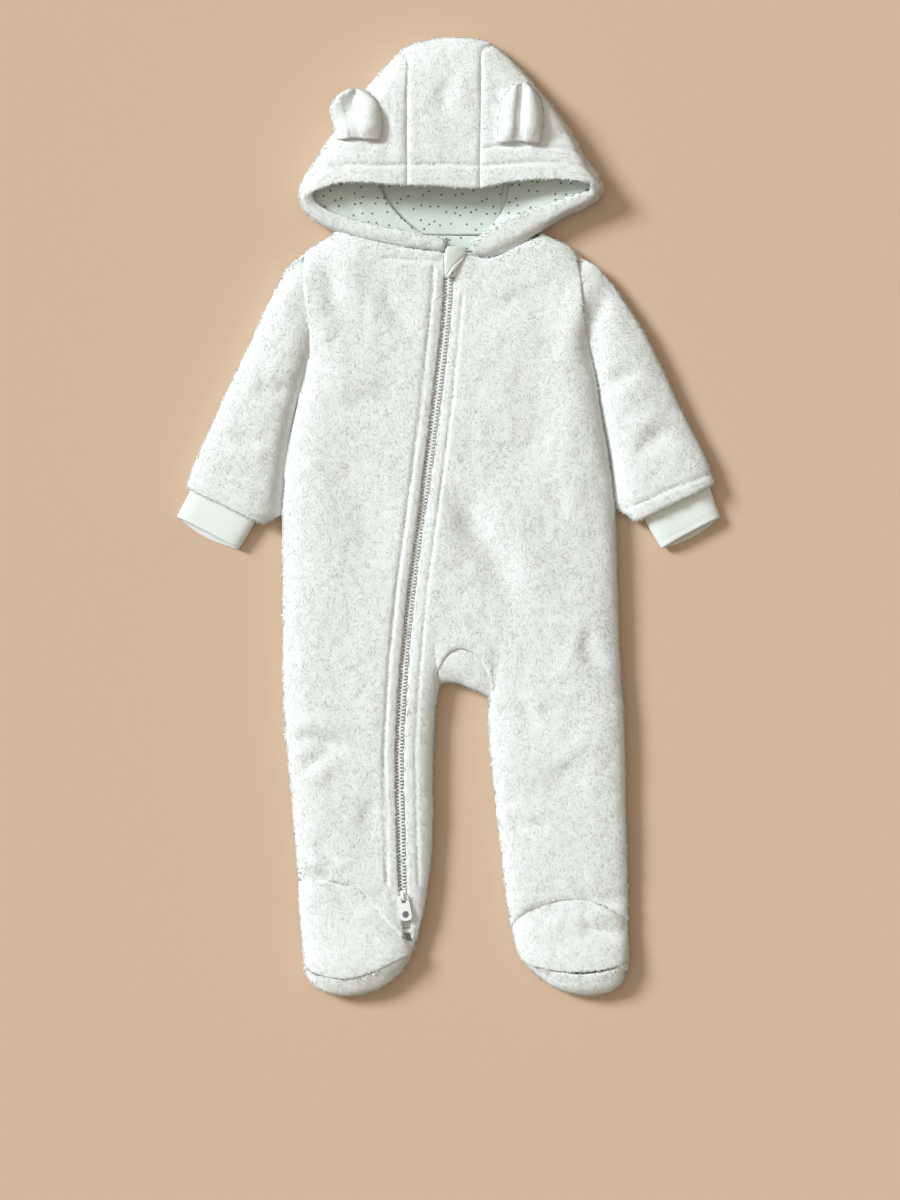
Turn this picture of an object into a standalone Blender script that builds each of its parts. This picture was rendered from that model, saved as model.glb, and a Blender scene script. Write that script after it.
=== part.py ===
"""A hooded, footed baby sleepsuit in long-pile fleece, laid flat on its back.

The back lies on z = 0, the front faces +Z, the hood points to +Y and the feet to -Y. Left and
right are those of someone looking down at the front. Tables and constants are in millimetres;
MM turns them into Blender's metres. Every cloth piece is a wall: an open surface worked out from
sections, thickened by Solidify. Neighbouring pieces keep SEAM_GAP between them.
"""
import math

import bmesh
import bpy
import numpy as np

MM = 0.001

# Cloth walls
FLEECE = 2.5
JERSEY = 1.2
LABEL_CLOTH = 0.5
SEAM_GAP = 0.4

# The flattened tube of the body and its limbs
SEAM_Z = 7.0
LIP = 1.5
FORK_REACH = 8.0
TOP_ROUND = 24.0
UNDER_ROUND = 7.0
SLEEVE_FROM_X = 118.0
SLEEVE_FULL_X = 178.0
SLEEVE_THINNER = 0.25
NEAR_EDGE = (3.0, 11.0)
ARMHOLE_EASE = 1.9
FOOT_EASE = 1.0
GUSSET_EASE = 2.8
SOLE_EASE = 0.32
NARROW_SHARE = 0.6
FORK_LIP = 2.0
HEEL_Y = -300.0
FORK_X = (-8.0, 37.5)

# The hood
HOOD_MID = 9.0
HOOD_ROUND = 24.0
HOOD_UNDER_ROUND = 8.0
RIM_BAND = 12.0
RIM_ROUND = 7.0
HOOD_LIFT_RIGHT = 4.0
HOOD_LIFT_X = (40.0, 110.0)
HOOD_LIFT_Y = (270.0, 330.0)

# The zip, no. 5 moulded
CHAIN_WIDTH = 5.8
CHAIN_THICK = 2.4
ZIP_HALF_GAP = 3.8
TAPE_WIDTH = 10.0
TAPE_THICK = 0.8
TAPE_DROP = 1.0
TAPE_CLEAR = 6.0
TAPE_LEAST = 1.4
SLIDER_SIZE = (6.6, 9.0, 2.6)
BRIDGE_WIRE = 0.9
BRIDGE_HALF = 2.6
PULL_LENGTH = 20.3
PULL_THICK = 1.4
PULL_TOP_WIDTH = 8.4
PULL_EYE_WIDTH = 9.4
PULL_SLOT = (3.6, 5.4)
PULL_EYE_HOLE = 5.6
PULL_BAR = 0.7
PULL_LEAN_DEG = 9.0
CHAIN_TOP_Y = 206.0
CHAIN_END_Y = -295.6
LOWER_SLIDER_Y = -300.4
UPPER_SLIDER_Y = 211.0
STOP_Y = -328.0
STOP_HALF_WIDTH = 3.2
STOP_HALF_LENGTH = 1.6
STOP_THICK = 1.4


def table(names, *rows):
    """Named columns from short rows."""
    return {name: np.array(column, float) for name, column in zip(names.split(), zip(*rows))}


# Shoulder, armhole and side seam: x of the left and right edge at each height y.
SIDES = table(
    "y left right",
    (230, -86, 70),
    (226, -92, 76),
    (217, -106, 97),
    (210, -117.6, 105),
    (200, -116.6, 105),
    (175, -112.4, 105.8),
    (142, -109.2, 109.2),
    (128, -108.8, 112.6),
    (101, -118, 119),
    (83, -123.6, 121.6),
    (55, -128.4, 127.6),
    (12, -132.6, 132.6),
    (-46, -131.8, 134.6),
    (-95, -131.8, 135.6),
    (-173, -129.2, 139.8),
    (-237, -123.6, 140.6),
    (-277, -120.2, 142.4),
    (-320, -117, 142.4),
    (-360, -114.8, 143.4),
)
SHOULDER_Y = (210.0, 211.0)
UNDERARM_Y = (128.0, 128.0)

# Inner edge of each leg, from the crotch down.
INNER_LEFT = table(
    "y x",
    (220, 20), (-118, -8.4), (-134.6, -8.9), (-148, -10.8), (-191, -13.2), (-262, -13.2),
    (-286, -16.2), (-323, -22), (-340, -27.2), (-354, -33),
)
INNER_RIGHT = table(
    "y x",
    (220, 52), (-118, 38), (-139, 35.6), (-144, 33.6), (-177, 33.6), (-206, 36),
    (-248, 40.4), (-301, 47.6), (-326, 51.4), (-353, 57.6),
)
# Where the front and the back are cut across for the gusset, and the fold at the crotch.
CROTCH_LINE = table(
    "x y",
    (-140, -122), (-38, -122), (-8, -120), (-3, -109), (6, -103.2), (18, -105.4),
    (27, -112.5), (33.5, -125), (37.5, -139), (60, -134), (100, -122), (145, -122),
)
GUSSET = table(
    "arc_x arc_y fold_x fold_y",
    (-8.0, -120.0, -8.4, -134.4),
    (-3.0, -109.0, -3.0, -131.4),
    (6.0, -103.2, 3.5, -129.6),
    (18.0, -105.4, 13.0, -133.2),
    (27.0, -112.5, 21.0, -137.2),
    (33.5, -125.0, 28.0, -140.6),
    (35.2, -138.2, 32.8, -142.6),
)

# Front neckline, just below the rim of the hood.
NECK_LEFT = table("x y", (-96, 230), (-75, 224), (-61, 220.4), (-34, 214.8), (-8.4, 211.6), (0, 211))
NECK_RIGHT = table(
    "x y", (0, 210.6), (19, 208.6), (31, 206.2), (46, 211.8), (62, 219.6), (76, 226.6), (90, 232)
)
BACK_NECK_Y = 226.2

ZIP_LINE = table(
    "y x",
    (222, 0.6), (188, 0.2), (95, -9.1), (30, -17.4), (-52, -28.8), (-124, -35.7),
    (-186, -39), (-257, -37.5), (-300, -36.3), (-340, -31.2),
)

# Height of the front's plateau along the garment.
CROWN = table(
    "y z",
    (235, 15), (190, 17), (100, 19), (-20, 18.5), (-110, 17), (-200, 17),
    (-260, 15.5), (-300, 15), (-328, 15.5), (-352, 20), (-384, 18),
)

# Sleeve sections from armhole to hem: outer edge and inner edge.
SLEEVE_LEFT = table(
    "outer_x outer_y inner_x inner_y",
    (-119.0, 209.4, -109.6, 128.0),
    (-134.0, 189.0, -114.8, 113.0),
    (-156.4, 142.4, -122.0, 92.0),
    (-177.2, 102.4, -127.4, 66.0),
    (-192.5, 68.0, -131.4, 38.0),
    (-205.2, 39.5, -133.8, 12.0),
    (-209.8, 25.0, -146.0, -5.6),
)
SLEEVE_RIGHT = table(
    "outer_x outer_y inner_x inner_y",
    (106.0, 210.4, 113.6, 128.0),
    (128.4, 188.8, 117.2, 113.0),
    (152.4, 157.0, 121.4, 92.0),
    (172.0, 117.0, 127.2, 66.0),
    (190.6, 77.5, 131.8, 38.0),
    (206.8, 46.0, 134.2, 20.0),
    (212.4, 28.0, 147.5, -2.6),
)
CUFF_LEFT = table(
    "outer_x outer_y inner_x inner_y floor top reach",
    (-203.6, 28.0, -151.4, 2.6, 3.0, 11.8, 0.0),
    (-206.6, 21.4, -154.4, -3.4, 3.0, 11.8, 0.0),
    (-210.6, 14.0, -158.8, -10.6, 0.6, 11.2, 1.0),
    (-217.2, 1.6, -167.6, -24.6, 0.0, 10.4, 4.0),
)
CUFF_RIGHT = table(
    "outer_x outer_y inner_x inner_y floor top reach",
    (206.2, 31.0, 153.2, 5.4, 3.0, 11.8, 0.0),
    (209.0, 24.4, 156.2, -0.6, 3.0, 11.8, 0.0),
    (211.8, 16.0, 160.4, -8.6, 0.6, 11.2, 1.0),
    (217.4, 1.4, 170.0, -24.0, 0.0, 10.4, 4.0),
)

# Feet, from one ankle to the other: arch seam, sole seam on top, and the toe's edge.
FOOT_LEFT = table(
    "arch_x arch_y seam_x seam_y toe_x toe_y",
    (-119.4, -288.8, -115.0, -355.0, -114.7, -362.0),
    (-106.0, -288.5, -107.5, -362.0, -108.5, -374.0),
    (-88.0, -289.0, -92.0, -367.0, -93.0, -382.2),
    (-72.0, -293.5, -78.0, -366.5, -77.0, -383.2),
    (-58.0, -308.5, -65.0, -363.0, -61.6, -379.4),
    (-46.0, -324.6, -51.0, -357.0, -48.0, -372.6),
    (-36.0, -334.5, -40.0, -350.0, -38.5, -363.0),
    (-26.4, -337.6, -30.6, -347.0, -32.6, -353.4),
)
FOOT_RIGHT = table(
    "arch_x arch_y seam_x seam_y toe_x toe_y",
    (51.1, -324.0, 55.4, -345.6, 57.8, -353.6),
    (60.4, -313.8, 65.0, -355.0, 67.2, -363.0),
    (71.0, -308.3, 76.0, -359.0, 78.8, -372.4),
    (86.0, -303.6, 91.0, -361.0, 92.0, -379.6),
    (101.0, -302.8, 107.0, -361.0, 108.0, -382.6),
    (117.2, -305.6, 121.0, -358.8, 124.0, -381.0),
    (131.5, -312.8, 133.5, -357.0, 136.5, -375.0),
    (142.4, -320.0, 143.2, -352.0, 143.2, -360.0),
)

# Hood: silhouette (edge) and centre seam of each side, from crown to the corner of the opening.
HOOD_TOP_LEFT = table(
    "edge_x edge_y seam_x seam_y",
    (-39.6, 370.6, -33.5, 366.0),
    (-50.0, 360.6, -33.2, 350.0),
    (-66.8, 340.4, -33.0, 330.0),
    (-82.6, 321.0, -32.9, 314.0),
    (-98.0, 300.0, -32.8, 298.0),
    (-107.8, 285.6, -32.8, 285.0),
    (-116.6, 270.4, -32.8, 273.0),
    (-121.2, 258.6, -32.8, 263.9),
)
HOOD_TOP_RIGHT = table(
    "edge_x edge_y seam_x seam_y",
    (35.2, 377.4, 26.9, 371.6),
    (49.2, 368.0, 26.4, 356.0),
    (66.8, 349.6, 26.1, 338.0),
    (83.6, 328.6, 25.7, 319.0),
    (97.4, 309.8, 25.4, 303.0),
    (109.2, 289.8, 25.1, 288.0),
    (118.2, 276.6, 24.9, 274.0),
    (125.0, 265.6, 24.9, 261.4),
)
# Rim of the hood's lower layer, from the corner to the chin. The first rows still carry the
# layer that lies on the floor, as far as its back seam; the others are only the turned hem.
HOOD_RIM_LEFT = table(
    "edge_x edge_y inner_x inner_y back_x back_y top base",
    (-117.8, 248.0, -106.8, 252.4, -33.4, 250.0, 17.0, 0.0),
    (-110.8, 239.2, -103.0, 248.6, -32.0, 240.0, 16.0, 0.0),
    (-98.0, 232.2, -92.6, 243.2, -30.0, 232.0, 15.5, 0.0),
    (-89.4, 228.9, -85.0, 240.2, -27.6, 227.0, 15.5, 0.0),
    (-75.0, 224.8, -71.5, 236.4, 0, 0, 16.0, 3.3),
    (-61.2, 221.2, -58.0, 232.8, 0, 0, 16.5, 4.4),
    (-34.0, 215.6, -31.5, 227.3, 0, 0, 17.0, 5.2),
    (-8.6, 212.4, -8.2, 223.0, 0, 0, 17.5, 5.8),
    (-3.4, 213.4, -3.6, 221.0, 0, 0, 17.5, 5.8),
)
HOOD_RIM_RIGHT = table(
    "edge_x edge_y inner_x inner_y back_x back_y top base",
    (123.6, 257.8, 113.0, 259.0, 25.4, 250.0, 21.0, 0.0),
    (115.0, 250.4, 108.0, 258.6, 26.4, 241.0, 21.0, 0.0),
    (100.4, 243.8, 94.0, 255.2, 27.8, 234.0, 20.0, 0.0),
    (83.0, 234.4, 78.0, 249.6, 29.6, 227.0, 19.0, 0.0),
    (75.6, 229.6, 68.0, 246.2, 0, 0, 19.0, 3.3),
    (62.0, 220.8, 55.0, 241.4, 0, 0, 19.0, 4.4),
    (46.0, 212.8, 39.0, 233.2, 0, 0, 19.0, 5.2),
    (31.0, 207.2, 26.0, 226.2, 0, 0, 18.5, 5.8),
    (20.0, 209.8, 17.4, 218.4, 0, 0, 17.5, 5.8),
)
FULL_RIM_ROWS = 4
# Edge of the hood's upper layer over the opening.
FOREHEAD = table(
    "x y",
    (-122, 258), (-112, 257.5), (-98, 264.8), (-80, 268.2), (-61, 266), (-45, 262), (-33, 263.8),
    (-6, 263.2), (20, 261), (40, 264), (56, 268.6), (76, 269.2), (104, 268), (118, 265.4), (126, 265),
)
CROWN_EDGE = table(
    "x y", (-38.6, 372.6), (-28, 378), (-17, 381.6), (1.2, 383.2), (18, 382.4), (34.2, 379.4)
)
HOOD_CENTRE_TOP = table(
    "left_x left_y right_x right_y",
    (-32.3, 263.8, 24.4, 261.2),
    (-32.3, 285.0, 24.6, 285.0),
    (-32.4, 310.0, 25.0, 312.0),
    (-32.6, 332.0, 25.5, 337.0),
    (-32.8, 351.0, 25.9, 357.0),
    (-33.0, 366.6, 26.3, 372.2),
)
HOOD_CENTRE_BACK = table(
    "left_x left_y right_x right_y",
    (-32.8, 351.0, 25.9, 357.0),
    (-32.4, 320.0, 25.2, 322.0),
    (-32.3, 290.0, 24.7, 290.0),
    (-32.3, 263.8, 24.4, 261.2),
    (-31.6, 243.0, 25.6, 243.0),
    (-27.2, 227.0, 29.2, 227.0),
)
HOOD_HEIGHT = table("y z", (384, 17), (350, 22), (300, 26), (262, 27), (230, 27))

# Dotted jersey inside the hood, where it shows: each row runs from the rim to the soft fold.
LINING_LEFT = table(
    "outer_x outer_y fold_x fold_y outer_z fold_z",
    (-92.0, 298.0, -66.0, 298.0, 13.0, 9.0),
    (-103.0, 277.0, -61.0, 281.0, 13.0, 8.5),
    (-110.0, 259.0, -56.5, 266.0, 12.8, 8.0),
    (-105.6, 246.0, -47.0, 249.5, 12.4, 7.6),
    (-86.4, 236.3, -36.0, 238.6, 12.0, 7.6),
    (-59.0, 228.9, -25.5, 229.4, 12.4, 9.6),
    (-32.3, 223.3, -17.0, 224.6, 12.8, 10.4),
)
LINING_RIGHT = table(
    "outer_x outer_y fold_x fold_y outer_z fold_z",
    (98.0, 298.0, 60.0, 298.0, 14.35, 9.0),
    (109.0, 279.0, 53.0, 281.0, 15.35, 8.5),
    (114.0, 263.5, 48.4, 266.0, 16.95, 8.0),
    (103.0, 252.8, 46.6, 256.0, 16.75, 7.6),
    (82.0, 246.0, 43.4, 244.6, 15.75, 7.6),
    (58.0, 237.6, 34.0, 233.6, 15.35, 9.6),
    (31.0, 222.8, 24.2, 225.4, 14.95, 11.6),
)
LINING_BACK = table(
    "y left right",
    (300, -46, 36), (280, -46, 36), (262, -44, 36), (245, -40, 36), (227.4, -27, 29),
)
LINING_BACK_TOP = 4.1

# Ears: width of each ear from its base to its tip, lying on the hood.
EAR_LEFT = table(
    "y left right thick",
    (300.0, -88.4, -54.4, 7.0),
    (308.0, -90.4, -52.8, 9.5),
    (315.0, -92.8, -53.0, 10.0),
    (321.0, -94.4, -54.0, 10.0),
    (328.0, -93.8, -56.0, 9.0),
    (334.0, -90.0, -59.6, 8.0),
    (338.4, -84.5, -64.6, 6.5),
    (340.8, -78.0, -70.4, 4.5),
)
EAR_RIGHT = table(
    "y left right thick",
    (297.0, 39.2, 71.8, 7.0),
    (306.0, 38.8, 74.2, 9.5),
    (316.0, 38.8, 75.4, 10.0),
    (324.0, 39.4, 75.4, 10.0),
    (332.0, 42.0, 74.0, 9.0),
    (338.0, 45.6, 71.2, 8.0),
    (343.0, 50.0, 66.8, 6.5),
    (346.6, 55.4, 62.0, 4.5),
)
EAR_REST_Z = 17.0
EAR_RIM = 2.2
EAR_PINCH = 0.45

CHIN_GUARD = table(
    "y left right lift_left lift_right",
    (216.0, -0.8, 13.6, 5.4, 2.0),
    (209.0, -2.0, 14.2, 5.2, 1.0),
    (203.0, -2.6, 10.4, 3.8, 1.2),
    (197.0, -2.8, 4.6, 3.4, 3.0),
    (191.0, -2.6, -0.4, 3.2, 3.2),
)
GUARD_THICK = 1.6

# Strip inside the back neck and the blank label on it: ends along X, ends along Y, underside.
NECK_FACING = ((-26.0, 33.0), (214.5, 225.8), 2.9)
NECK_LABEL = ((-10.8, -1.2), (215.4, 225.0), 4.5)

WHITE_FLEECE = (0.86, 0.90, 0.88)
WHITE_JERSEY = (0.82, 0.87, 0.83)
DOTTED_JERSEY = (0.76, 0.82, 0.78)
WHITE_PLASTIC = (0.88, 0.88, 0.86)
WHITE_TAPE = (0.85, 0.86, 0.85)


# ---------------------------------------------------------------- reading tables
def smooth(xs, ys, at):
    """Cubic through the points of a table column, read at one or many places."""
    order = np.argsort(xs)
    xs, ys = xs[order], ys[order]
    slopes = np.gradient(ys, xs)
    at = np.clip(np.asarray(at, float), xs[0], xs[-1])
    i = np.clip(np.searchsorted(xs, at, side="right") - 1, 0, len(xs) - 2)
    span = xs[i + 1] - xs[i]
    t = (at - xs[i]) / span
    rise = t * t * (3 - 2 * t)
    start = t * (1 - t) ** 2 * span * slopes[i]
    end = t * t * (t - 1) * span * slopes[i + 1]
    return ys[i] + (ys[i + 1] - ys[i]) * rise + start + end


def along(rows, x_name, y_name, count):
    """Points spread evenly over a table's rows, smoothed."""
    place = np.arange(len(rows[x_name]), dtype=float)
    at = np.linspace(0, place[-1], count)
    return np.stack([smooth(place, rows[x_name], at), smooth(place, rows[y_name], at)], axis=1)


def left_edge(y):
    return smooth(SIDES["y"], SIDES["left"], y)


def right_edge(y):
    return smooth(SIDES["y"], SIDES["right"], y)


def inner_left(y):
    return smooth(INNER_LEFT["y"], INNER_LEFT["x"], y)


def inner_right(y):
    return smooth(INNER_RIGHT["y"], INNER_RIGHT["x"], y)


def zip_x(y):
    return smooth(ZIP_LINE["y"], ZIP_LINE["x"], y)


def dome(s):
    """Quarter round: 0 at the edge, 1 from one radius inwards."""
    return np.sqrt(1 - (1 - np.clip(s, 0, 1)) ** 2)


def lines_of(*curves):
    """Start and end points of all the straight bits of some curves."""
    starts = np.concatenate([c[:-1] for c in curves])
    ends = np.concatenate([c[1:] for c in curves])
    return starts, ends


def distance(x, y, lines):
    """Shortest plan distance from each point to the lines."""
    starts, ends = lines
    point = np.stack(np.broadcast_arrays(x, y), axis=-1)[..., None, :]
    step = ends - starts
    t = ((point - starts) * step).sum(-1) / (step * step).sum(-1)
    near = starts + np.clip(t, 0, 1)[..., None] * step
    return np.sqrt(((point - near) ** 2).sum(-1)).min(-1)


def edge_curve(edge, low, high, count=24):
    y = np.linspace(low, high, count)
    return np.stack([edge(y), y], axis=1)


BODY_LINES = lines_of(
    edge_curve(left_edge, SHOULDER_Y[0], SIDES["y"].max(), 8),
    edge_curve(right_edge, SHOULDER_Y[1], SIDES["y"].max(), 8),
    edge_curve(left_edge, -355, UNDERARM_Y[0], 40),
    edge_curve(right_edge, -352, UNDERARM_Y[1], 40),
    edge_curve(inner_left, -347, -134.6),
    edge_curve(inner_right, -348, -144),
    along(GUSSET, "fold_x", "fold_y", 14),
    along(SLEEVE_LEFT, "outer_x", "outer_y", 20),
    along(SLEEVE_LEFT, "inner_x", "inner_y", 20),
    along(SLEEVE_RIGHT, "outer_x", "outer_y", 20),
    along(SLEEVE_RIGHT, "inner_x", "inner_y", 20),
    along(FOOT_LEFT, "toe_x", "toe_y", 24),
    along(FOOT_RIGHT, "toe_x", "toe_y", 24),
)
HOOD_LINES = lines_of(
    along(HOOD_TOP_LEFT, "edge_x", "edge_y", 24),
    along(HOOD_TOP_RIGHT, "edge_x", "edge_y", 24),
    along(CROWN_EDGE, "x", "y", 16),
)


def body_gap(x, y):
    return distance(x, y, BODY_LINES)


def front_z(x, y):
    """Height of the garment's upper face."""
    crown = smooth(CROWN["y"], CROWN["z"], y)
    reach = np.clip((np.abs(x) - SLEEVE_FROM_X) / (SLEEVE_FULL_X - SLEEVE_FROM_X), 0, 1)
    foot = SEAM_Z + LIP
    full = (crown - foot) * (1 - SLEEVE_THINNER * reach)
    return foot + full * dome(body_gap(x, y) / TOP_ROUND)


def under_z(x, y):
    """Height of the garment's underside: flat, rounded up at its edges."""
    return (SEAM_Z - LIP) * (1 - dome(body_gap(x, y) / UNDER_ROUND))


def hood_z(x, y):
    """Height of the hood's upper layer."""
    foot = HOOD_MID + LIP
    full = smooth(HOOD_HEIGHT["y"], HOOD_HEIGHT["z"], y) - foot
    aside = np.clip((x - HOOD_LIFT_X[0]) / (HOOD_LIFT_X[1] - HOOD_LIFT_X[0]), 0, 1)
    along_y = np.clip((HOOD_LIFT_Y[1] - y) / (HOOD_LIFT_Y[1] - HOOD_LIFT_Y[0]), 0, 1)
    full = full + HOOD_LIFT_RIGHT * aside * along_y
    return foot + full * dome(distance(x, y, HOOD_LINES) / HOOD_ROUND)


# ---------------------------------------------------------------- making objects
def material(name, colour, roughness):
    made = bpy.data.materials.get(name) or bpy.data.materials.new(name)
    made.use_nodes = True
    shader = made.node_tree.nodes["Principled BSDF"]
    shader.inputs["Base Color"].default_value = (*colour, 1)
    shader.inputs["Roughness"].default_value = roughness
    shader.inputs["Metallic"].default_value = 0.0
    return made


def add_object(name, mesh, collection, finish):
    obj = bpy.data.objects.new(name, mesh)
    collection.objects.link(obj)
    obj.data.materials.append(material(name + "_finish", *finish))
    return obj


def grid_faces(rows, columns, closed=False, keep=None, flip=False):
    faces = []
    for r in range(rows - 1):
        for c in range(columns - (0 if closed else 1)):
            if keep is not None and not keep(r, c):
                continue
            n = (c + 1) % columns
            face = (r * columns + c, (r + 1) * columns + c, (r + 1) * columns + n, r * columns + n)
            faces.append(face[::-1] if flip else face)
    return faces


def cloth(name, grid, wall, collection, finish, closed=False, keep=None, flip=False):
    """A cloth wall on a grid of points whose faces look outwards."""
    rows, columns = grid.shape[:2]
    mesh = bpy.data.meshes.new(name)
    faces = grid_faces(rows, columns, closed, keep, flip)
    mesh.from_pydata((grid.reshape(-1, 3) * MM).tolist(), [], faces)
    form = bmesh.new()
    form.from_mesh(mesh)
    loose = [v for v in form.verts if not v.link_faces]
    bmesh.ops.delete(form, geom=loose, context="VERTS")
    form.to_mesh(mesh)
    form.free()
    mesh.shade_smooth()
    obj = add_object(name, mesh, collection, finish)
    thick = obj.modifiers.new("wall", "SOLIDIFY")
    thick.thickness = wall * MM
    thick.offset = -1
    thick.use_even_offset = False
    return obj


def solid_from_layers(name, top, bottom, collection, finish):
    """A closed solid between two grids of the same size, joined round their edge."""
    rows, columns = top.shape[:2]
    shift = rows * columns
    faces = grid_faces(rows, columns)
    faces += [tuple(i + shift for i in f[::-1]) for f in grid_faces(rows, columns)]
    ring = [(0, c) for c in range(columns)] + [(r, columns - 1) for r in range(1, rows)]
    ring += [(rows - 1, c) for c in range(columns - 2, -1, -1)] + [(r, 0) for r in range(rows - 2, 0, -1)]
    index = [r * columns + c for r, c in ring]
    for a, b in zip(index, index[1:] + index[:1]):
        faces.append((a, b, b + shift, a + shift))
    points = np.concatenate([top.reshape(-1, 3), bottom.reshape(-1, 3)])
    mesh = bpy.data.meshes.new(name)
    mesh.from_pydata((points * MM).tolist(), [], faces)
    mesh.shade_smooth()
    return add_object(name, mesh, collection, finish)


# ---------------------------------------------------------------- the body panels
def side_columns(from_left, kind, near=NEAR_EDGE):
    """Offsets of the columns beside a turned-in edge, edge first: its lip takes two columns."""
    columns = [(0.0, kind), (0.0, kind + " lip")] + [(n, "") for n in near]
    return columns if from_left else [(-n, k) for n, k in reversed(columns)]


def column_rules(left, right, kind_left, kind_right, middle, near=NEAR_EDGE):
    """Rules for the columns between two guide curves: (left, right, shift, share, kind). An
    "edge" is turned in all along; a "fork" only below the crotch, where the legs part."""
    starts = side_columns(True, kind_left, near) if kind_left else [(0.0, "")]
    ends = side_columns(False, kind_right, near) if kind_right else [(0.0, "")]
    first, last = starts[-1][0], ends[0][0]
    rules = [(left, right, shift, 0.0, kind) for shift, kind in starts]
    for k in range(1, middle + 1):
        share = k / (middle + 1)
        rules.append((left, right, first * (1 - share) + last * share, share, ""))
    rules += [(left, right, shift, 1.0, kind) for shift, kind in ends]
    return rules


def column_x(rule, y):
    left, right, shift, share, kind = rule
    width = right(y) - left(y)
    x = left(y) + share * width + shift * min(1.0, NARROW_SHARE * width / NEAR_EDGE[-1])
    if kind == "fork lip":
        slack = np.clip(body_gap(x, y) / FORK_REACH, 0, 1)
        x = x + slack * FORK_LIP * (1 if share == 0.0 else -1)
    return x


def panel_points(rules, rows, top_y, bottom_y, height, turn):
    """Grid of panel points. top_y and bottom_y give the panel's ends as functions of x."""
    grid = np.zeros((len(rows), len(rules), 3))
    for c, rule in enumerate(rules):
        for r, v in enumerate(rows):
            y = 0.0
            for _ in range(24):
                x = float(column_x(rule, y))
                y = 0.5 * y + 0.5 * float(top_y(x) * (1 - v) + bottom_y(x) * v)
            z = float(height(x, y))
            if rule[4] == "edge":
                z += turn
            elif rule[4] == "fork":
                z += turn * (1 - float(np.clip(body_gap(x, y) / FORK_REACH, 0, 1)))
            grid[r, c] = (x, y, z)
    return grid


def spread(*parts):
    """Row places: (start, end, steps) runs, joined."""
    values = [parts[0][0]]
    for start, end, steps in parts:
        values += list(np.linspace(start, end, steps + 1)[1:])
    return values


def crotch_y(x):
    return np.interp(x, CROTCH_LINE["x"], CROTCH_LINE["y"])


def arch_y(foot, x):
    return smooth(foot["arch_x"], foot["arch_y"], x)


def zip_left(y):
    return zip_x(y) - ZIP_HALF_GAP


def zip_right(y):
    return zip_x(y) + ZIP_HALF_GAP


TORSO_ROWS = spread((0.0, 0.046, 1), (0.046, 0.282, 4), (0.282, 1.0, 6))
LEG_ROWS = spread((0.0, 0.07, 1), (0.07, 1.0, 7))
TURN_DOWN = SEAM_GAP / 2 - LIP
TURN_UP = LIP - SEAM_GAP / 2


def front_left(collection):
    rules = column_rules(left_edge, zip_left, "edge", "", 5)
    rows = spread((0.0, 0.033, 1), (0.033, 0.193, 4), (0.193, 1.0, 13))
    grid = panel_points(
        rules,
        rows,
        lambda x: smooth(NECK_LEFT["x"], NECK_LEFT["y"], x),
        lambda x: arch_y(FOOT_LEFT, x) + SEAM_GAP,
        front_z,
        TURN_DOWN,
    )
    return cloth("front_left", grid, FLEECE, collection, (WHITE_FLEECE, 0.95))


def trousered(name, groups, top_y, leg_ends, height, turn, collection, flip):
    """A panel whose torso divides into legs: the columns between the legs stop at the gusset."""
    rules = groups[0] + groups[1] + groups[2]
    torso = panel_points(rules, TORSO_ROWS, top_y, lambda x: crotch_y(x) + SEAM_GAP, height, turn)
    legs = np.zeros((len(LEG_ROWS), len(rules), 3))
    first = len(groups[0])
    last = first + len(groups[1])
    thigh = (
        lambda x: crotch_y(min(x, FORK_X[0])) + SEAM_GAP,
        lambda x: crotch_y(max(x, FORK_X[1])) + SEAM_GAP,
    )
    for columns, start_y, end_y in (
        (slice(0, first), thigh[0], leg_ends[0]),
        (slice(last, None), thigh[1], leg_ends[1]),
    ):
        legs[:, columns] = panel_points(rules[columns], LEG_ROWS, start_y, end_y, height, turn)
    grid = np.concatenate([torso, legs[1:]])
    split = len(TORSO_ROWS) - 1

    def keep(r, c):
        return r < split or c < first - 1 or c >= last

    return cloth(name, grid, FLEECE, collection, (WHITE_FLEECE, 0.95), keep=keep, flip=flip)


def front_right(collection):
    groups = (
        column_rules(zip_right, inner_left, "", "fork", 0),
        column_rules(inner_left, inner_right, "", "", 6)[1:-1],
        column_rules(inner_right, right_edge, "fork", "edge", 3),
    )
    ends = (
        lambda x: arch_y(FOOT_LEFT, x) + SEAM_GAP,
        lambda x: arch_y(FOOT_RIGHT, x) + SEAM_GAP,
    )
    return trousered(
        "front_right",
        groups,
        lambda x: smooth(NECK_RIGHT["x"], NECK_RIGHT["y"], x),
        ends,
        front_z,
        TURN_DOWN,
        collection,
        False,
    )


def back(collection):
    groups = (
        column_rules(left_edge, inner_left, "edge", "fork", 1),
        column_rules(inner_left, inner_right, "", "", 6)[1:-1],
        column_rules(inner_right, right_edge, "fork", "edge", 1),
    )
    ends = (lambda x: HEEL_Y, lambda x: HEEL_Y)
    return trousered(
        "back", groups, lambda x: BACK_NECK_Y, ends, under_z, TURN_UP, collection, True
    )


def gusset(collection):
    """Half-moon that wraps from the front round the crotch fold to the back."""
    arc = along(GUSSET, "arc_x", "arc_y", 9)
    fold = along(GUSSET, "fold_x", "fold_y", 9)
    inwards = fold.mean(axis=0) - arc
    arc = arc + inwards / np.hypot(*inwards.T)[:, None] * GUSSET_EASE
    rows = []
    for share, height in (
        (0.0, front_z), (0.4, front_z), (0.75, front_z), (1.0, front_z),
        (1.0, under_z), (0.75, under_z), (0.4, under_z), (0.0, under_z),
    ):
        plan = arc * (1 - share) + fold * share
        rows.append(np.column_stack([plan, height(plan[:, 0], plan[:, 1])]))
    return cloth("crotch_gusset", np.array(rows), FLEECE, collection, (WHITE_FLEECE, 0.95))


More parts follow.
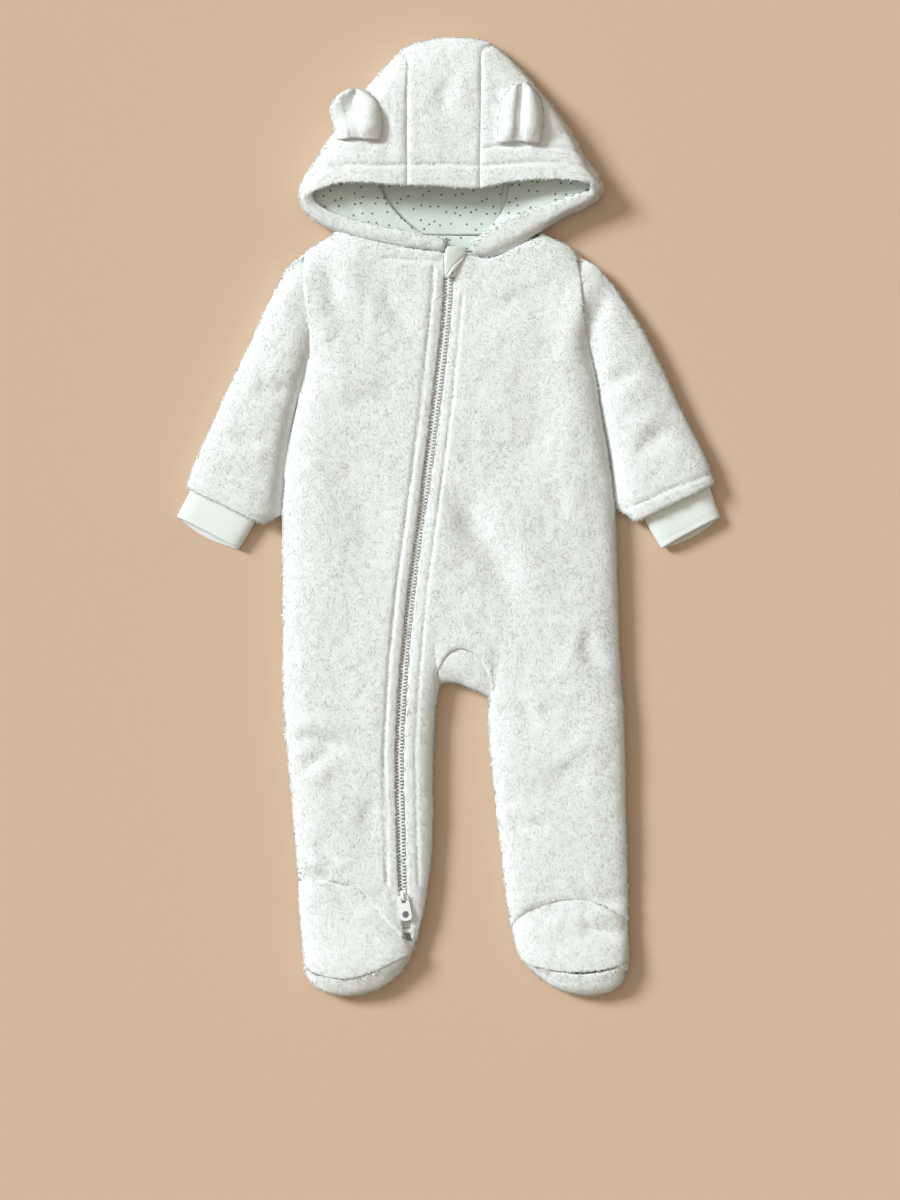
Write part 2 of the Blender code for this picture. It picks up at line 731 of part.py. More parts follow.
# ---------------------------------------------------------------- sleeves and cuffs
RING_OUT = np.array([0.0, 0.04, 0.13, 0.28, 0.5, 0.72, 0.87, 0.96, 1.0])


def sleeve(name, rows, edge, shoulder_y, underarm_y, outward, collection):
    """A tube from the armhole, whose line it follows, to the hem."""
    count = 9
    outer = along(rows, "outer_x", "outer_y", count)
    inner = along(rows, "inner_x", "inner_y", count)
    arm_y = shoulder_y + (underarm_y - shoulder_y) * RING_OUT
    arm_x = edge(arm_y) + outward * (SEAM_GAP + ARMHOLE_EASE)
    straight = outer[0] + (inner[0] - outer[0]) * RING_OUT[:, None]
    bend = np.column_stack([arm_x, arm_y]) - straight
    grid = []
    for i in range(count):
        plan = outer[i] + (inner[i] - outer[i]) * RING_OUT[:, None]
        plan = plan + bend * max(0.0, 1 - i / 3) ** 2
        upper = front_z(plan[:, 0], plan[:, 1])
        lower = under_z(plan[:, 0], plan[:, 1])
        ring = [(*p, z) for p, z in zip(plan, upper)]
        ring += [(*p, z) for p, z in zip(plan[::-1], lower[::-1])]
        grid.append(ring)
    flip = outward > 0
    return cloth(name, np.array(grid), FLEECE, collection, (WHITE_FLEECE, 0.95), closed=True, flip=flip)


def cuff(name, rows, outward, collection):
    """A smooth jersey tube set inside the hem; its lower layer reaches further than the upper."""
    count = 4
    place = np.arange(len(rows["outer_x"]), dtype=float)
    at = np.linspace(0, place[-1], count)
    outer = along(rows, "outer_x", "outer_y", count)
    inner = along(rows, "inner_x", "inner_y", count)
    floor, top, reach = (smooth(place, rows[n], at) for n in ("floor", "top", "reach"))
    grid = []
    for i in range(count):
        line = inner[i] - outer[i]
        width = np.hypot(*line)
        forward = np.array([line[1], -line[0]]) / width
        forward = forward if forward[1] < 0 else -forward
        plan = outer[i] + line * RING_OUT[:, None]
        gap = np.minimum(RING_OUT, 1 - RING_OUT) * width
        mid = (floor[i] + top[i]) / 2
        rise = 0.5 + (top[i] - mid - 0.5) * dome(gap / 12.0)
        drop = 0.5 + (mid - floor[i] - 0.5) * dome(gap / 7.0)
        belly = np.sin(math.pi * RING_OUT)[:, None] * forward
        upper = plan - belly * reach[i] * 0.25
        lower = plan + belly * reach[i]
        ring = [(*p, z) for p, z in zip(upper, mid + rise)]
        ring += [(*p, z) for p, z in zip(lower[::-1], (mid - drop)[::-1])]
        grid.append(ring)
    flip = outward > 0
    return cloth(name, np.array(grid), JERSEY, collection, (WHITE_JERSEY, 0.8), closed=True, flip=flip)


# ---------------------------------------------------------------- feet
FOOT_ACROSS = np.array([0.0, 0.0, 0.05, 0.16, 0.38, 0.62, 0.84, 0.95, 1.0, 1.0])


def foot_lines(foot):
    place = np.arange(len(foot["arch_x"]), dtype=float)
    at = FOOT_ACROSS * place[-1]
    return [
        np.column_stack([smooth(place, foot[n + "_x"], at), smooth(place, foot[n + "_y"], at)])
        for n in ("arch", "seam", "toe")
    ]


def with_lips(plan, height, turn):
    z = height(plan[:, 0], plan[:, 1])
    z[[0, -1]] += turn
    return np.column_stack([plan, z])


def foot_top(name, foot, collection):
    """The vamp: from the arched ankle seam to the sole seam above the toes."""
    arch, seam, _ = foot_lines(foot)
    ease = np.array([0.0, -FOOT_EASE])
    rows = []
    for share in (0.0, 0.3, 0.6, 0.85, 1.0):
        plan = (arch + ease) * (1 - share) + seam * share
        rows.append(with_lips(plan, front_z, TURN_DOWN))
    return cloth(name, np.array(rows), FLEECE, collection, (WHITE_FLEECE, 0.95))


def sole(name, foot, inner, collection):
    """From the sole seam, round the toes and back under the foot to the heel."""
    _, seam, toe = foot_lines(foot)
    seam = seam + (toe - seam) * SOLE_EASE
    outer_left = foot["toe_x"][0] < 0
    edges = (left_edge, inner) if outer_left else (inner, right_edge)
    ends = [float(edge(HEEL_Y - SEAM_GAP)) for edge in edges]
    heel_x = ends[0] + (ends[1] - ends[0]) * FOOT_ACROSS
    heel = np.column_stack([heel_x, np.full(len(heel_x), HEEL_Y - SEAM_GAP)])
    rows = [
        with_lips(seam * (1 - s) + toe * s, front_z, TURN_DOWN) for s in (0.0, 0.55, 1.0)
    ]
    rows += [
        with_lips(toe * (1 - s) + heel * s, under_z, TURN_UP)
        for s in (0.0, 0.04, 0.12, 0.4, 0.7, 1.0)
    ]
    return cloth(name, np.array(rows), FLEECE, collection, (WHITE_FLEECE, 0.95))


# ---------------------------------------------------------------- hood
HOOD_NEAR = np.array([0.0, 3.0, 7.0, RIM_BAND])
HOOD_SHARE = np.array([0.0, 0.18, 0.42, 0.66])
HOOD_FAR = np.array([0.3, 0.65, 1.0])


def inward(edge, target, offsets, shares):
    """Points from an edge towards a target: near offsets first, then shares of what is left."""
    length = np.hypot(*(target - edge))
    unit = (target - edge) / length
    near = np.minimum(offsets, shares * length)
    rest = near[-1] + (length - near[-1]) * HOOD_FAR
    return edge + unit * np.concatenate([near, rest])[:, None]


def hood_side(name, top, rim, outward, collection):
    """One side of the hood: its upper layer, the fold at the silhouette, and its lower layer,
    which ends in the rim of the opening."""
    grid = []
    near, far = len(HOOD_NEAR), len(HOOD_FAR)
    last = len(top["edge_x"]) - 1
    for i in range(last + 1):
        edge = np.array([top["edge_x"][i], top["edge_y"][i]])
        seam = np.array([top["seam_x"][i], top["seam_y"][i]])
        plan = inward(edge, seam, HOOD_NEAR, HOOD_SHARE)
        under = inward(edge, seam, HOOD_NEAR, HOOD_SHARE)
        weight = max(0.0, 1 - (last - i) / 2.5)
        rim_y = smooth(FOREHEAD["x"], FOREHEAD["y"], plan[:, 0])
        plan[1:-1, 1] += weight * (rim_y - plan[:, 1])[1:-1]
        upper_z = hood_z(plan[:, 0], plan[:, 1])
        upper_z[0] = HOOD_MID + LIP
        gap = np.hypot(*(under - edge).T)
        lower_z = (HOOD_MID - LIP) * (1 - dome(gap / HOOD_UNDER_ROUND))
        row = [(*p, z) for p, z in zip(plan[::-1], upper_z[::-1])]
        row += [(*p, z) for p, z in zip(under, lower_z)]
        grid.append(row)
    for i in range(len(rim["edge_x"])):
        edge = np.array([rim["edge_x"][i], rim["edge_y"][i]])
        inner = np.array([rim["inner_x"][i], rim["inner_y"][i]])
        back_seam = np.array([rim["back_x"][i], rim["back_y"][i]])
        share = (HOOD_NEAR / RIM_BAND)[:, None]
        plan = edge + (inner - edge) * share
        band = np.hypot(*(inner - edge))
        gap = HOOD_NEAR / RIM_BAND * band
        high, low = rim["top"][i], rim["base"][i]
        mid = (high + low) / 2 if i >= FULL_RIM_ROWS else HOOD_MID
        upper_z = mid + LIP + (high - mid - LIP) * dome(gap / RIM_ROUND)
        lower_z = low + (mid - LIP - low) * (1 - dome(gap / (RIM_ROUND - 1)))
        row = [(*plan[-1], upper_z[-1])] * far
        row += [(*p, z) for p, z in zip(plan[::-1], upper_z[::-1])]
        row += [(*p, z) for p, z in zip(plan, lower_z)]
        if i < FULL_RIM_ROWS:
            rest = plan[-1] + (back_seam - plan[-1]) * HOOD_FAR[:, None]
            row += [(*p, 0.0) for p in rest]
        else:
            row += [(*plan[-1], lower_z[-1])] * far
        grid.append(row)

    def keep(r, c):
        if r < last:
            return True
        if c < far:
            return False
        return r < last + FULL_RIM_ROWS or c < far + 2 * near - 1

    flip = outward < 0
    return cloth(name, np.array(grid), FLEECE, collection, (WHITE_FLEECE, 0.95), keep=keep, flip=flip)


def hood_centre(collection):
    """The strip that runs from the forehead over the crown and down to the back neck."""
    across = np.linspace(0, 1, 6)

    def straight(rows, i):
        left = np.array([rows["left_x"][i], rows["left_y"][i]])
        right = np.array([rows["right_x"][i], rows["right_y"][i]])
        return left + (right - left) * across[:, None]

    crown = along(CROWN_EDGE, "x", "y", len(across))
    ridge = straight(HOOD_CENTRE_TOP, len(HOOD_CENTRE_TOP["left_x"]) - 1)
    grid = []
    for i in range(len(HOOD_CENTRE_TOP["left_x"])):
        plan = straight(HOOD_CENTRE_TOP, i)
        if i == 0:
            plan[:, 1] = smooth(FOREHEAD["x"], FOREHEAD["y"], plan[:, 0])
        grid.append(np.column_stack([plan, hood_z(plan[:, 0], plan[:, 1])]))
    for share in (0.5, 0.8, 1.0):
        plan = ridge + (crown - ridge) * share
        z = hood_z(plan[:, 0], plan[:, 1]) if share < 1 else np.full(len(plan), HOOD_MID + LIP)
        grid.append(np.column_stack([plan, z]))
    for share in (1.0, 0.8, 0.5, 0.0):
        plan = ridge + (crown - ridge) * share
        gap = distance(plan[:, 0], plan[:, 1], HOOD_LINES) if share < 1 else np.zeros(len(plan))
        grid.append(
            np.column_stack([plan, (HOOD_MID - LIP) * (1 - dome(gap / HOOD_UNDER_ROUND))])
        )
    for i in range(len(HOOD_CENTRE_BACK["left_x"])):
        plan = straight(HOOD_CENTRE_BACK, i)
        gap = distance(plan[:, 0], plan[:, 1], HOOD_LINES)
        grid.append(
            np.column_stack([plan, (HOOD_MID - LIP) * (1 - dome(gap / HOOD_UNDER_ROUND))])
        )
    return cloth("hood_centre", np.array(grid), FLEECE, collection, (WHITE_FLEECE, 0.95), flip=True)


def hood_lining_side(name, rows, outward, collection):
    grid = []
    for i in range(len(rows["outer_x"])):
        outer = np.array([rows["outer_x"][i], rows["outer_y"][i]])
        fold = np.array([rows["fold_x"][i], rows["fold_y"][i]])
        share = np.linspace(0, 1, 6)
        plan = outer + (fold - outer) * share[:, None]
        z = rows["outer_z"][i] + (rows["fold_z"][i] - rows["outer_z"][i]) * share
        grid.append(np.column_stack([plan, z]))
    return cloth(name, np.array(grid), JERSEY, collection, (DOTTED_JERSEY, 0.8), flip=outward > 0)


def hood_lining_back(collection):
    share = np.linspace(0, 1, 6)
    grid = []
    for y, left, right in zip(LINING_BACK["y"], LINING_BACK["left"], LINING_BACK["right"]):
        x = left + (right - left) * share
        grid.append(np.column_stack([x, np.full(6, y), np.full(6, LINING_BACK_TOP)]))
    return cloth("hood_lining_back", np.array(grid), JERSEY, collection, (DOTTED_JERSEY, 0.8))


def ear(name, rows, collection):
    """Two layers of fleece pinched at the middle, lying on the hood."""
    share = np.array([0.0, 0.1, 0.25, 0.4, 0.5, 0.6, 0.75, 0.9, 1.0])
    swell = np.array([0.0, 0.55, 0.95, 0.8, 1 - EAR_PINCH, 0.8, 0.95, 0.55, 0.0])
    count = len(rows["y"])
    top, bottom = [], []
    for i in range(count):
        x = rows["left"][i] + (rows["right"][i] - rows["left"][i]) * share
        y = np.full(len(x), rows["y"][i])
        seat = np.maximum(hood_z(x, y), EAR_REST_Z) + SEAM_GAP + 0.2
        end = 0.35 if i in (0, count - 1) else 1.0
        bottom.append(np.column_stack([x, y, seat]))
        lift = EAR_RIM + (rows["thick"][i] - EAR_RIM) * swell * end
        top.append(np.column_stack([x, y, seat + lift]))
    top, bottom = np.array(top)[::-1], np.array(bottom)[::-1]
    return solid_from_layers(name, top, bottom, collection, (WHITE_FLEECE, 0.95))


# ---------------------------------------------------------------- neck trims
def flat_strip(name, across, length, z, thick, collection, finish):
    """A flat rectangle whose underside is at z; across and length are its ends along X and Y."""
    form = bmesh.new()
    bmesh.ops.create_cube(form, size=1.0)
    size = (across[1] - across[0], length[1] - length[0], thick)
    centre = (sum(across) / 2, sum(length) / 2, z + thick / 2)
    for v in form.verts:
        v.co = [(c + s * k) * MM for c, s, k in zip(centre, size, v.co)]
    mesh = bpy.data.meshes.new(name)
    form.to_mesh(mesh)
    form.free()
    return add_object(name, mesh, collection, finish)


def chin_guard(collection):
    """A jersey flap folded over the top of the zip, cut to a point."""
    rows = CHIN_GUARD
    share = np.linspace(0, 1, 6)
    grid = []
    for i in range(len(rows["y"])):
        x = rows["left"][i] + (rows["right"][i] - rows["left"][i]) * share
        y = np.full(6, rows["y"][i])
        lift = rows["lift_left"][i] + (rows["lift_right"][i] - rows["lift_left"][i]) * share ** 2
        z = float(front_z(0.0, rows["y"][i])) + lift + GUARD_THICK
        grid.append(np.column_stack([x, y, z]))
    return cloth("chin_guard", np.array(grid), GUARD_THICK, collection, (WHITE_JERSEY, 0.8))


# ---------------------------------------------------------------- zip
def tape(name, side, collection):
    near = CHAIN_WIDTH / 2 + 0.3
    grid = []
    for v in np.linspace(UPPER_SLIDER_Y - 0.4, STOP_Y + 1, 18):
        centre = float(zip_x(v))
        room = float(body_gap(centre, v)) - near - TAPE_CLEAR
        width = min(TAPE_WIDTH, max(TAPE_LEAST, room))
        x = centre + side * np.array([near, near + width / 2, near + width])
        x = np.sort(x)
        z = front_z(x, np.full(3, v)).min() - FLEECE - TAPE_DROP
        grid.append(np.column_stack([x, np.full(3, v), np.full(3, z)]))
    return cloth(name, np.array(grid), TAPE_THICK, collection, (WHITE_TAPE, 0.8))


def zip_plane(y):
    """Height of the middle of the tapes at the zip's centre."""
    return float(front_z(float(zip_x(y)), y)) - FLEECE - TAPE_DROP - TAPE_THICK / 2


def zip_chain(collection):
    """The closed rows of teeth, as a plain strip."""
    half = CHAIN_WIDTH / 2
    top, bottom = [], []
    for v in np.linspace(CHAIN_TOP_Y, CHAIN_END_Y, 24):
        x = float(zip_x(v)) + np.array([-half, half])
        middle = zip_plane(v)
        top.append([(p, v, middle + CHAIN_THICK / 2) for p in x])
        bottom.append([(p, v, middle - CHAIN_THICK / 2) for p in x])
    return solid_from_layers("zip_chain", np.array(top), np.array(bottom), collection, (WHITE_PLASTIC, 0.4))


def slider_floor(y):
    """Underside of a slider: just above the tapes."""
    return zip_plane(y) + TAPE_THICK / 2 + SEAM_GAP


def slider(name, y, axis_z, lean, collection, tools):
    """A slider body with the wire bridge that its pull hangs on."""
    x = float(zip_x(y))
    size = SLIDER_SIZE
    form = bmesh.new()
    bmesh.ops.create_cube(form, size=1.0)
    for v in form.verts:
        taper = 0.82 if v.co.y < 0 else 1.0
        v.co = (v.co.x * size[0] * taper * MM, v.co.y * size[1] * MM, (v.co.z + 0.5) * size[2] * MM)
    mesh = bpy.data.meshes.new(name)
    form.to_mesh(mesh)
    form.free()
    obj = add_object(name, mesh, collection, (WHITE_PLASTIC, 0.35))
    floor = slider_floor(y)
    obj.location = (x * MM, y * MM, floor * MM)
    obj.rotation_euler = (0, 0, math.radians(lean))
    soft = obj.modifiers.new("edges", "BEVEL")
    soft.width = 0.7 * MM
    soft.segments = 2

    base, height = size[2] - 0.8, axis_z - floor + PULL_BAR + 0.6 + BRIDGE_WIRE
    arch = bpy.data.curves.new(name + "_bridge", "CURVE")
    arch.dimensions = "3D"
    arch.bevel_depth = BRIDGE_WIRE * MM
    arch.bevel_resolution = 1
    arch.use_fill_caps = True
    line = arch.splines.new("POLY")
    path = [(-BRIDGE_HALF, base), (-BRIDGE_HALF, height - 1.1)]
    path += [(-BRIDGE_HALF + 1.1, height), (BRIDGE_HALF - 1.1, height)]
    path += [(BRIDGE_HALF, height - 1.1), (BRIDGE_HALF, base)]
    line.points.add(len(path) - 1)
    for point, (along_y, up) in zip(line.points, path):
        point.co = (0, along_y * MM, up * MM, 1)
    wire = bpy.data.objects.new(name + "_bridge", arch)
    tools.objects.link(wire)
    bpy.context.view_layer.update()
    graph = bpy.context.evaluated_depsgraph_get()
    wire_mesh = bpy.data.meshes.new_from_object(wire.evaluated_get(graph))
    weld = bmesh.new()
    weld.from_mesh(wire_mesh)
    bmesh.ops.remove_doubles(weld, verts=weld.verts, dist=1e-6)
    weld.to_mesh(wire_mesh)
    weld.free()
    bpy.data.objects.remove(wire)
    bridge = bpy.data.objects.new(name + "_bridge_tool", wire_mesh)
    tools.objects.link(bridge)
    bridge.location = obj.location
    bridge.rotation_euler = obj.rotation_euler
    bridge.hide_render = True
    bridge.display_type = "WIRE"
    join = obj.modifiers.new("bridge", "BOOLEAN")
    join.operation = "UNION"
    join.object = bridge
    return obj


def rounded(points_xy, radius_points):
    """Closed outline through points, each corner cut by a short arc."""
    outline = []
    count = len(points_xy)
    for i, (corner, radius) in enumerate(zip(points_xy, radius_points)):
        before = np.array(points_xy[i - 1]) - corner
        after = np.array(points_xy[(i + 1) % count]) - corner
        start = np.array(corner) + before / np.hypot(*before) * radius
        end = np.array(corner) + after / np.hypot(*after) * radius
        for t in np.linspace(0, 1, 4):
            outline.append((1 - t) ** 2 * start + 2 * t * (1 - t) * np.array(corner) + t * t * end)
    return outline


def pull(name, x, y, axis_z, lean, collection):
    """A flat pull: a bar in the slider's bridge, a slot round it and an eye at the end. Its
    origin is on the bar's axis and it lies towards -Y."""
    shape = bpy.data.curves.new(name, "CURVE")
    shape.dimensions = "2D"
    shape.fill_mode = "BOTH"
    shape.extrude = PULL_THICK / 2 * MM
    top, end = PULL_BAR, PULL_BAR - PULL_LENGTH
    wide, eye = PULL_TOP_WIDTH / 2, PULL_EYE_WIDTH / 2
    outer = rounded(
        [(-wide, top), (-eye, end), (eye, end), (wide, top)], [1.6, 3.6, 3.6, 1.6]
    )
    slot_x = PULL_SLOT[0] / 2
    slot = rounded(
        [(-slot_x, -PULL_BAR), (-slot_x, -PULL_SLOT[1]), (slot_x, -PULL_SLOT[1]), (slot_x, -PULL_BAR)],
        [0.6, 1.2, 1.2, 0.6],
    )
    turns = np.linspace(0, 2 * math.pi, 16, endpoint=False)
    centre = end + eye + 0.3
    hole = [(math.cos(a) * PULL_EYE_HOLE / 2, centre + math.sin(a) * PULL_EYE_HOLE / 2) for a in turns]
    for loop in (outer, slot, hole):
        line = shape.splines.new("POLY")
        line.use_cyclic_u = True
        line.points.add(len(loop) - 1)
        for point, (px, py) in zip(line.points, loop):
            point.co = (px * MM, py * MM, 0, 1)
    guide = bpy.data.objects.new(name + "_outline", shape)
    collection.objects.link(guide)
    bpy.context.view_layer.update()
    graph = bpy.context.evaluated_depsgraph_get()
    mesh = bpy.data.meshes.new_from_object(guide.evaluated_get(graph))
    bpy.data.objects.remove(guide)
    weld = bmesh.new()
    weld.from_mesh(mesh)
    bmesh.ops.remove_doubles(weld, verts=weld.verts, dist=1e-6)
    weld.to_mesh(mesh)
    weld.free()
    mesh.name = name
    obj = add_object(name, mesh, collection, (WHITE_PLASTIC, 0.35))
    obj.location = (x * MM, y * MM, axis_z * MM)
    obj.rotation_euler = (0, 0, math.radians(lean))
    return obj


def pull_axis_z(x, y, lean):
    """Height of a pull's bar: the pull just clears the cloth that it lies on."""
    turn = math.radians(lean)
    heights = []
    for reach in np.linspace(0, PULL_LENGTH, 12):
        for aside in (-PULL_EYE_WIDTH / 2, 0, PULL_EYE_WIDTH / 2):
            px = x + reach * math.sin(turn) + aside
            heights.append(float(front_z(px, y - reach * math.cos(turn))))
    return max(heights) + SEAM_GAP + PULL_THICK / 2


def zip_hardware(collection, tools):
    for name, y, lean in (("lower", LOWER_SLIDER_Y, PULL_LEAN_DEG), ("upper", UPPER_SLIDER_Y, 3.0)):
        x = float(zip_x(y))
        axis_z = pull_axis_z(x, y, lean)
        slider(name + "_slider", y, axis_z, lean, collection, tools)
        pull(name + "_pull", x, y, axis_z, lean, collection)
    stop_x = float(zip_x(STOP_Y))
    flat_strip(
        "zip_stop",
        (stop_x - STOP_HALF_WIDTH, stop_x + STOP_HALF_WIDTH),
        (STOP_Y - STOP_HALF_LENGTH, STOP_Y + STOP_HALF_LENGTH),
        slider_floor(STOP_Y + STOP_HALF_LENGTH),
        STOP_THICK,
        collection,
        (WHITE_PLASTIC, 0.35),
    )


def main():
    for obj in list(bpy.data.objects):
        bpy.data.objects.remove(obj)
    garment = bpy.data.collections.new("footed_baby_sleepsuit")
    tools = bpy.data.collections.new("joining_tools")
    bpy.context.scene.collection.children.link(garment)
    bpy.context.scene.collection.children.link(tools)

    back(garment)
    front_left(garment)
    front_right(garment)
    gusset(garment)
    sleeve("sleeve_left", SLEEVE_LEFT, left_edge, SHOULDER_Y[0], UNDERARM_Y[0], -1, garment)
    sleeve("sleeve_right", SLEEVE_RIGHT, right_edge, SHOULDER_Y[1], UNDERARM_Y[1], 1, garment)
    cuff("cuff_left", CUFF_LEFT, -1, garment)
    cuff("cuff_right", CUFF_RIGHT, 1, garment)
    foot_top("foot_top_left", FOOT_LEFT, garment)
    foot_top("foot_top_right", FOOT_RIGHT, garment)
    sole("sole_left", FOOT_LEFT, inner_left, garment)
    sole("sole_right", FOOT_RIGHT, inner_right, garment)
    hood_side("hood_side_left", HOOD_TOP_LEFT, HOOD_RIM_LEFT, -1, garment)
    hood_side("hood_side_right", HOOD_TOP_RIGHT, HOOD_RIM_RIGHT, 1, garment)
    hood_centre(garment)
    hood_lining_side("hood_lining_left", LINING_LEFT, -1, garment)
    hood_lining_side("hood_lining_right", LINING_RIGHT, 1, garment)
    hood_lining_back(garment)
    ear("ear_left", EAR_LEFT, garment)
    ear("ear_right", EAR_RIGHT, garment)
    flat_strip("neck_facing", *NECK_FACING, JERSEY, garment, (DOTTED_JERSEY, 0.8))
    flat_strip("neck_label", *NECK_LABEL, LABEL_CLOTH, garment, (WHITE_JERSEY, 0.7))
    chin_guard(garment)
    tape("zip_tape_left", -1, garment)
    tape("zip_tape_right", 1, garment)
    zip_chain(garment)
    zip_hardware(garment, tools)


main()
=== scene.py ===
"""Looks of a hooded, footed baby sleepsuit in long-pile fleece, laid flat.

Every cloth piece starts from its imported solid: the solid is smoothed into a soft shell, split
finely where the shell shows, pressed into the garment's creases and stitch lines, and the fleece
ones are grown over with a short pile. Metres everywhere, except in the tables, which are in
millimetres. +Y points to the hood and +Z out of the front.
"""

import math

import bmesh
import bpy
import numpy as np
from bpy.props import FloatProperty, FloatVectorProperty, PointerProperty
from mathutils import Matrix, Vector
from mathutils.bvhtree import BVHTree


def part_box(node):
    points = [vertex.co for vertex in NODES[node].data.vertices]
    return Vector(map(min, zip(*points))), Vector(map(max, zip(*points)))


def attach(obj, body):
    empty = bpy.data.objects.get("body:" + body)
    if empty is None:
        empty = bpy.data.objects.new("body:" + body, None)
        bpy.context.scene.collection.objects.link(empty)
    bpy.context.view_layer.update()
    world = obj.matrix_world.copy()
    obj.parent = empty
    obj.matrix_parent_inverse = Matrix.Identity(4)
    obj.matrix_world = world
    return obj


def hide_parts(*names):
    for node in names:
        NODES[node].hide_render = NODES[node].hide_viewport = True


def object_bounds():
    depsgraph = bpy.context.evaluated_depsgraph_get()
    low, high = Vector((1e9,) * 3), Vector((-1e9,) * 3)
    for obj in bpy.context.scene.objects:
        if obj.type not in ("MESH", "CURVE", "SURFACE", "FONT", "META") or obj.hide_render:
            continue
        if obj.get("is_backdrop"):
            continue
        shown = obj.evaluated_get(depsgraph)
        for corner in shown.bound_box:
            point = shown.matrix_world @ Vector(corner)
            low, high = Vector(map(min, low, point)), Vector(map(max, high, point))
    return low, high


bl_info = {
    "name": "Footed baby sleepsuit",
    "version": (1, 0, 0),
    "blender": (4, 5, 0),
    "location": "3D View > Sidebar > Sleepsuit",
    "description": "Builds a hooded fleece sleepsuit for a baby, laid flat, from its packed frame",
    "category": "Object",
}

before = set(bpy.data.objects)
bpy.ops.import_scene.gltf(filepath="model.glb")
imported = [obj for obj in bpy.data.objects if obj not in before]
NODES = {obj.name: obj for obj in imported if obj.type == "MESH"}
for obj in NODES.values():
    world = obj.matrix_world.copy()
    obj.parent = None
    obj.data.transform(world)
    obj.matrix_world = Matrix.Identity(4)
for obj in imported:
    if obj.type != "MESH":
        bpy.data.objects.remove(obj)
CAD_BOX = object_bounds()
GARMENT = "garment"
MM = 0.001


def table(names, *rows):
    """Named columns from short rows, in millimetres."""
    return {name: np.array(column, float) for name, column in zip(names.split(), zip(*rows))}


def rows_of(columns):
    """The rows of a table, each as its values in the order of the columns."""
    return list(zip(*columns.values()))


# Creases pressed into the front: a trough from one end to the other with a soft ridge beside it.
# side is +1 or -1 and says on which side of the trough, seen along it, the ridge lies.
CREASES = table(
    "from_x from_y to_x to_y width depth side",
    (-103, 200, -84, 164, 9, 1.6, 1),
    (-50, 182, -31, 148, 8, 1.2, -1),
    (20, 14, 46, -66, 13, 2.4, 1),
    (-4, 30, 22, -20, 11, 1.2, -1),
    (78, 26, 92, 4, 7, 1.1, 1),
    (106, -92, 122, -116, 8, 1.5, -1),
    (55, -152, 74, -160, 6, 0.9, 1),
    (-122, -175, -82, -180, 6, 1.5, 1),
    (-118, -196, -92, -188, 6, 1.0, -1),
    (-118, -278, -90, -292, 7, 1.6, 1),
    (-108, -262, -84, -270, 6, 1.0, -1),
    (50, -238, 76, -246, 6, 0.9, 1),
    (100, -296, 138, -306, 7, 1.3, -1),
    (108, -320, 132, -336, 6, 1.6, 1),
    (-96, -300, -60, -306, 7, 1.1, 1),
    (62, -318, 88, -312, 6, 0.9, -1),
    (118, 182, 116, 120, 8, 2.6, -1),
    (-118, 176, -112, 138, 8, 1.5, 1),
    (-150, 110, -128, 96, 8, 1.4, 1),
    (-170, 70, -142, 58, 7, 1.0, -1),
    (150, 118, 126, 102, 7, 1.1, 1),
    (176, 66, 148, 54, 8, 1.2, -1),
    (60, 120, 74, 40, 18, 1.3, 1),
    (-80, 60, -66, -40, 20, 1.2, -1),
    (-100, 96, -60, 84, 12, 0.9, 1),
    (40, 176, 80, 160, 12, 1.0, -1),
    (84, -200, 110, -214, 14, 1.0, 1),
    (-70, -230, -52, -250, 10, 0.8, -1),
    (-8, 344, 2, 322, 9, 1.2, 1),
    (-60, 300, -44, 286, 8, 0.9, -1),
    (70, 306, 92, 296, 8, 1.1, 1),
    (-96, 286, -72, 278, 6, 0.8, 1),
)

# Creases of the underside, which lie against the floor.
UNDER_CREASES = table(
    "from_x from_y to_x to_y width depth side",
    (-112, 30, -64, 44, 10, 1.2, 1),
    (114, -60, 70, -44, 9, 1.1, -1),
    (-108, -150, -78, -160, 9, 1.0, 1),
    (118, -210, 78, -222, 9, 1.1, 1),
    (-60, 120, 30, 96, 16, 0.8, 1),
    (-40, -40, 60, -66, 18, 0.8, -1),
)

# Soft folds of the jersey that lines the hood.
LINING_FOLDS = table(
    "from_x from_y to_x to_y width depth side",
    (-25, 252, -14, 229, 2.6, 0.9, 1),
    (-5, 257, -7, 228, 2.2, 0.6, -1),
    (12, 252, 5, 227, 2.4, 0.7, 1),
    (-92, 258, -70, 240, 4.0, 0.5, 1),
    (60, 256, 84, 262, 4.0, 0.5, -1),
)

# Middle of the zip, from the chin to the ankle.
ZIP_LINE = table(
    "y x",
    (222, 0.6),
    (188, 0.2),
    (95, -9.1),
    (30, -17.4),
    (-52, -28.8),
    (-124, -35.7),
    (-186, -39),
    (-257, -37.5),
    (-300, -36.3),
    (-340, -31.2),
)
TOPSTITCH_FROM_ZIP = 12.3


def beside_zip(offset, from_y, to_y, steps=24):
    """A line that runs beside the zip at a steady distance."""
    y = np.linspace(from_y, to_y, steps)
    x = np.interp(-y, -ZIP_LINE["y"], ZIP_LINE["x"]) + offset
    return np.stack([x, y], 1)


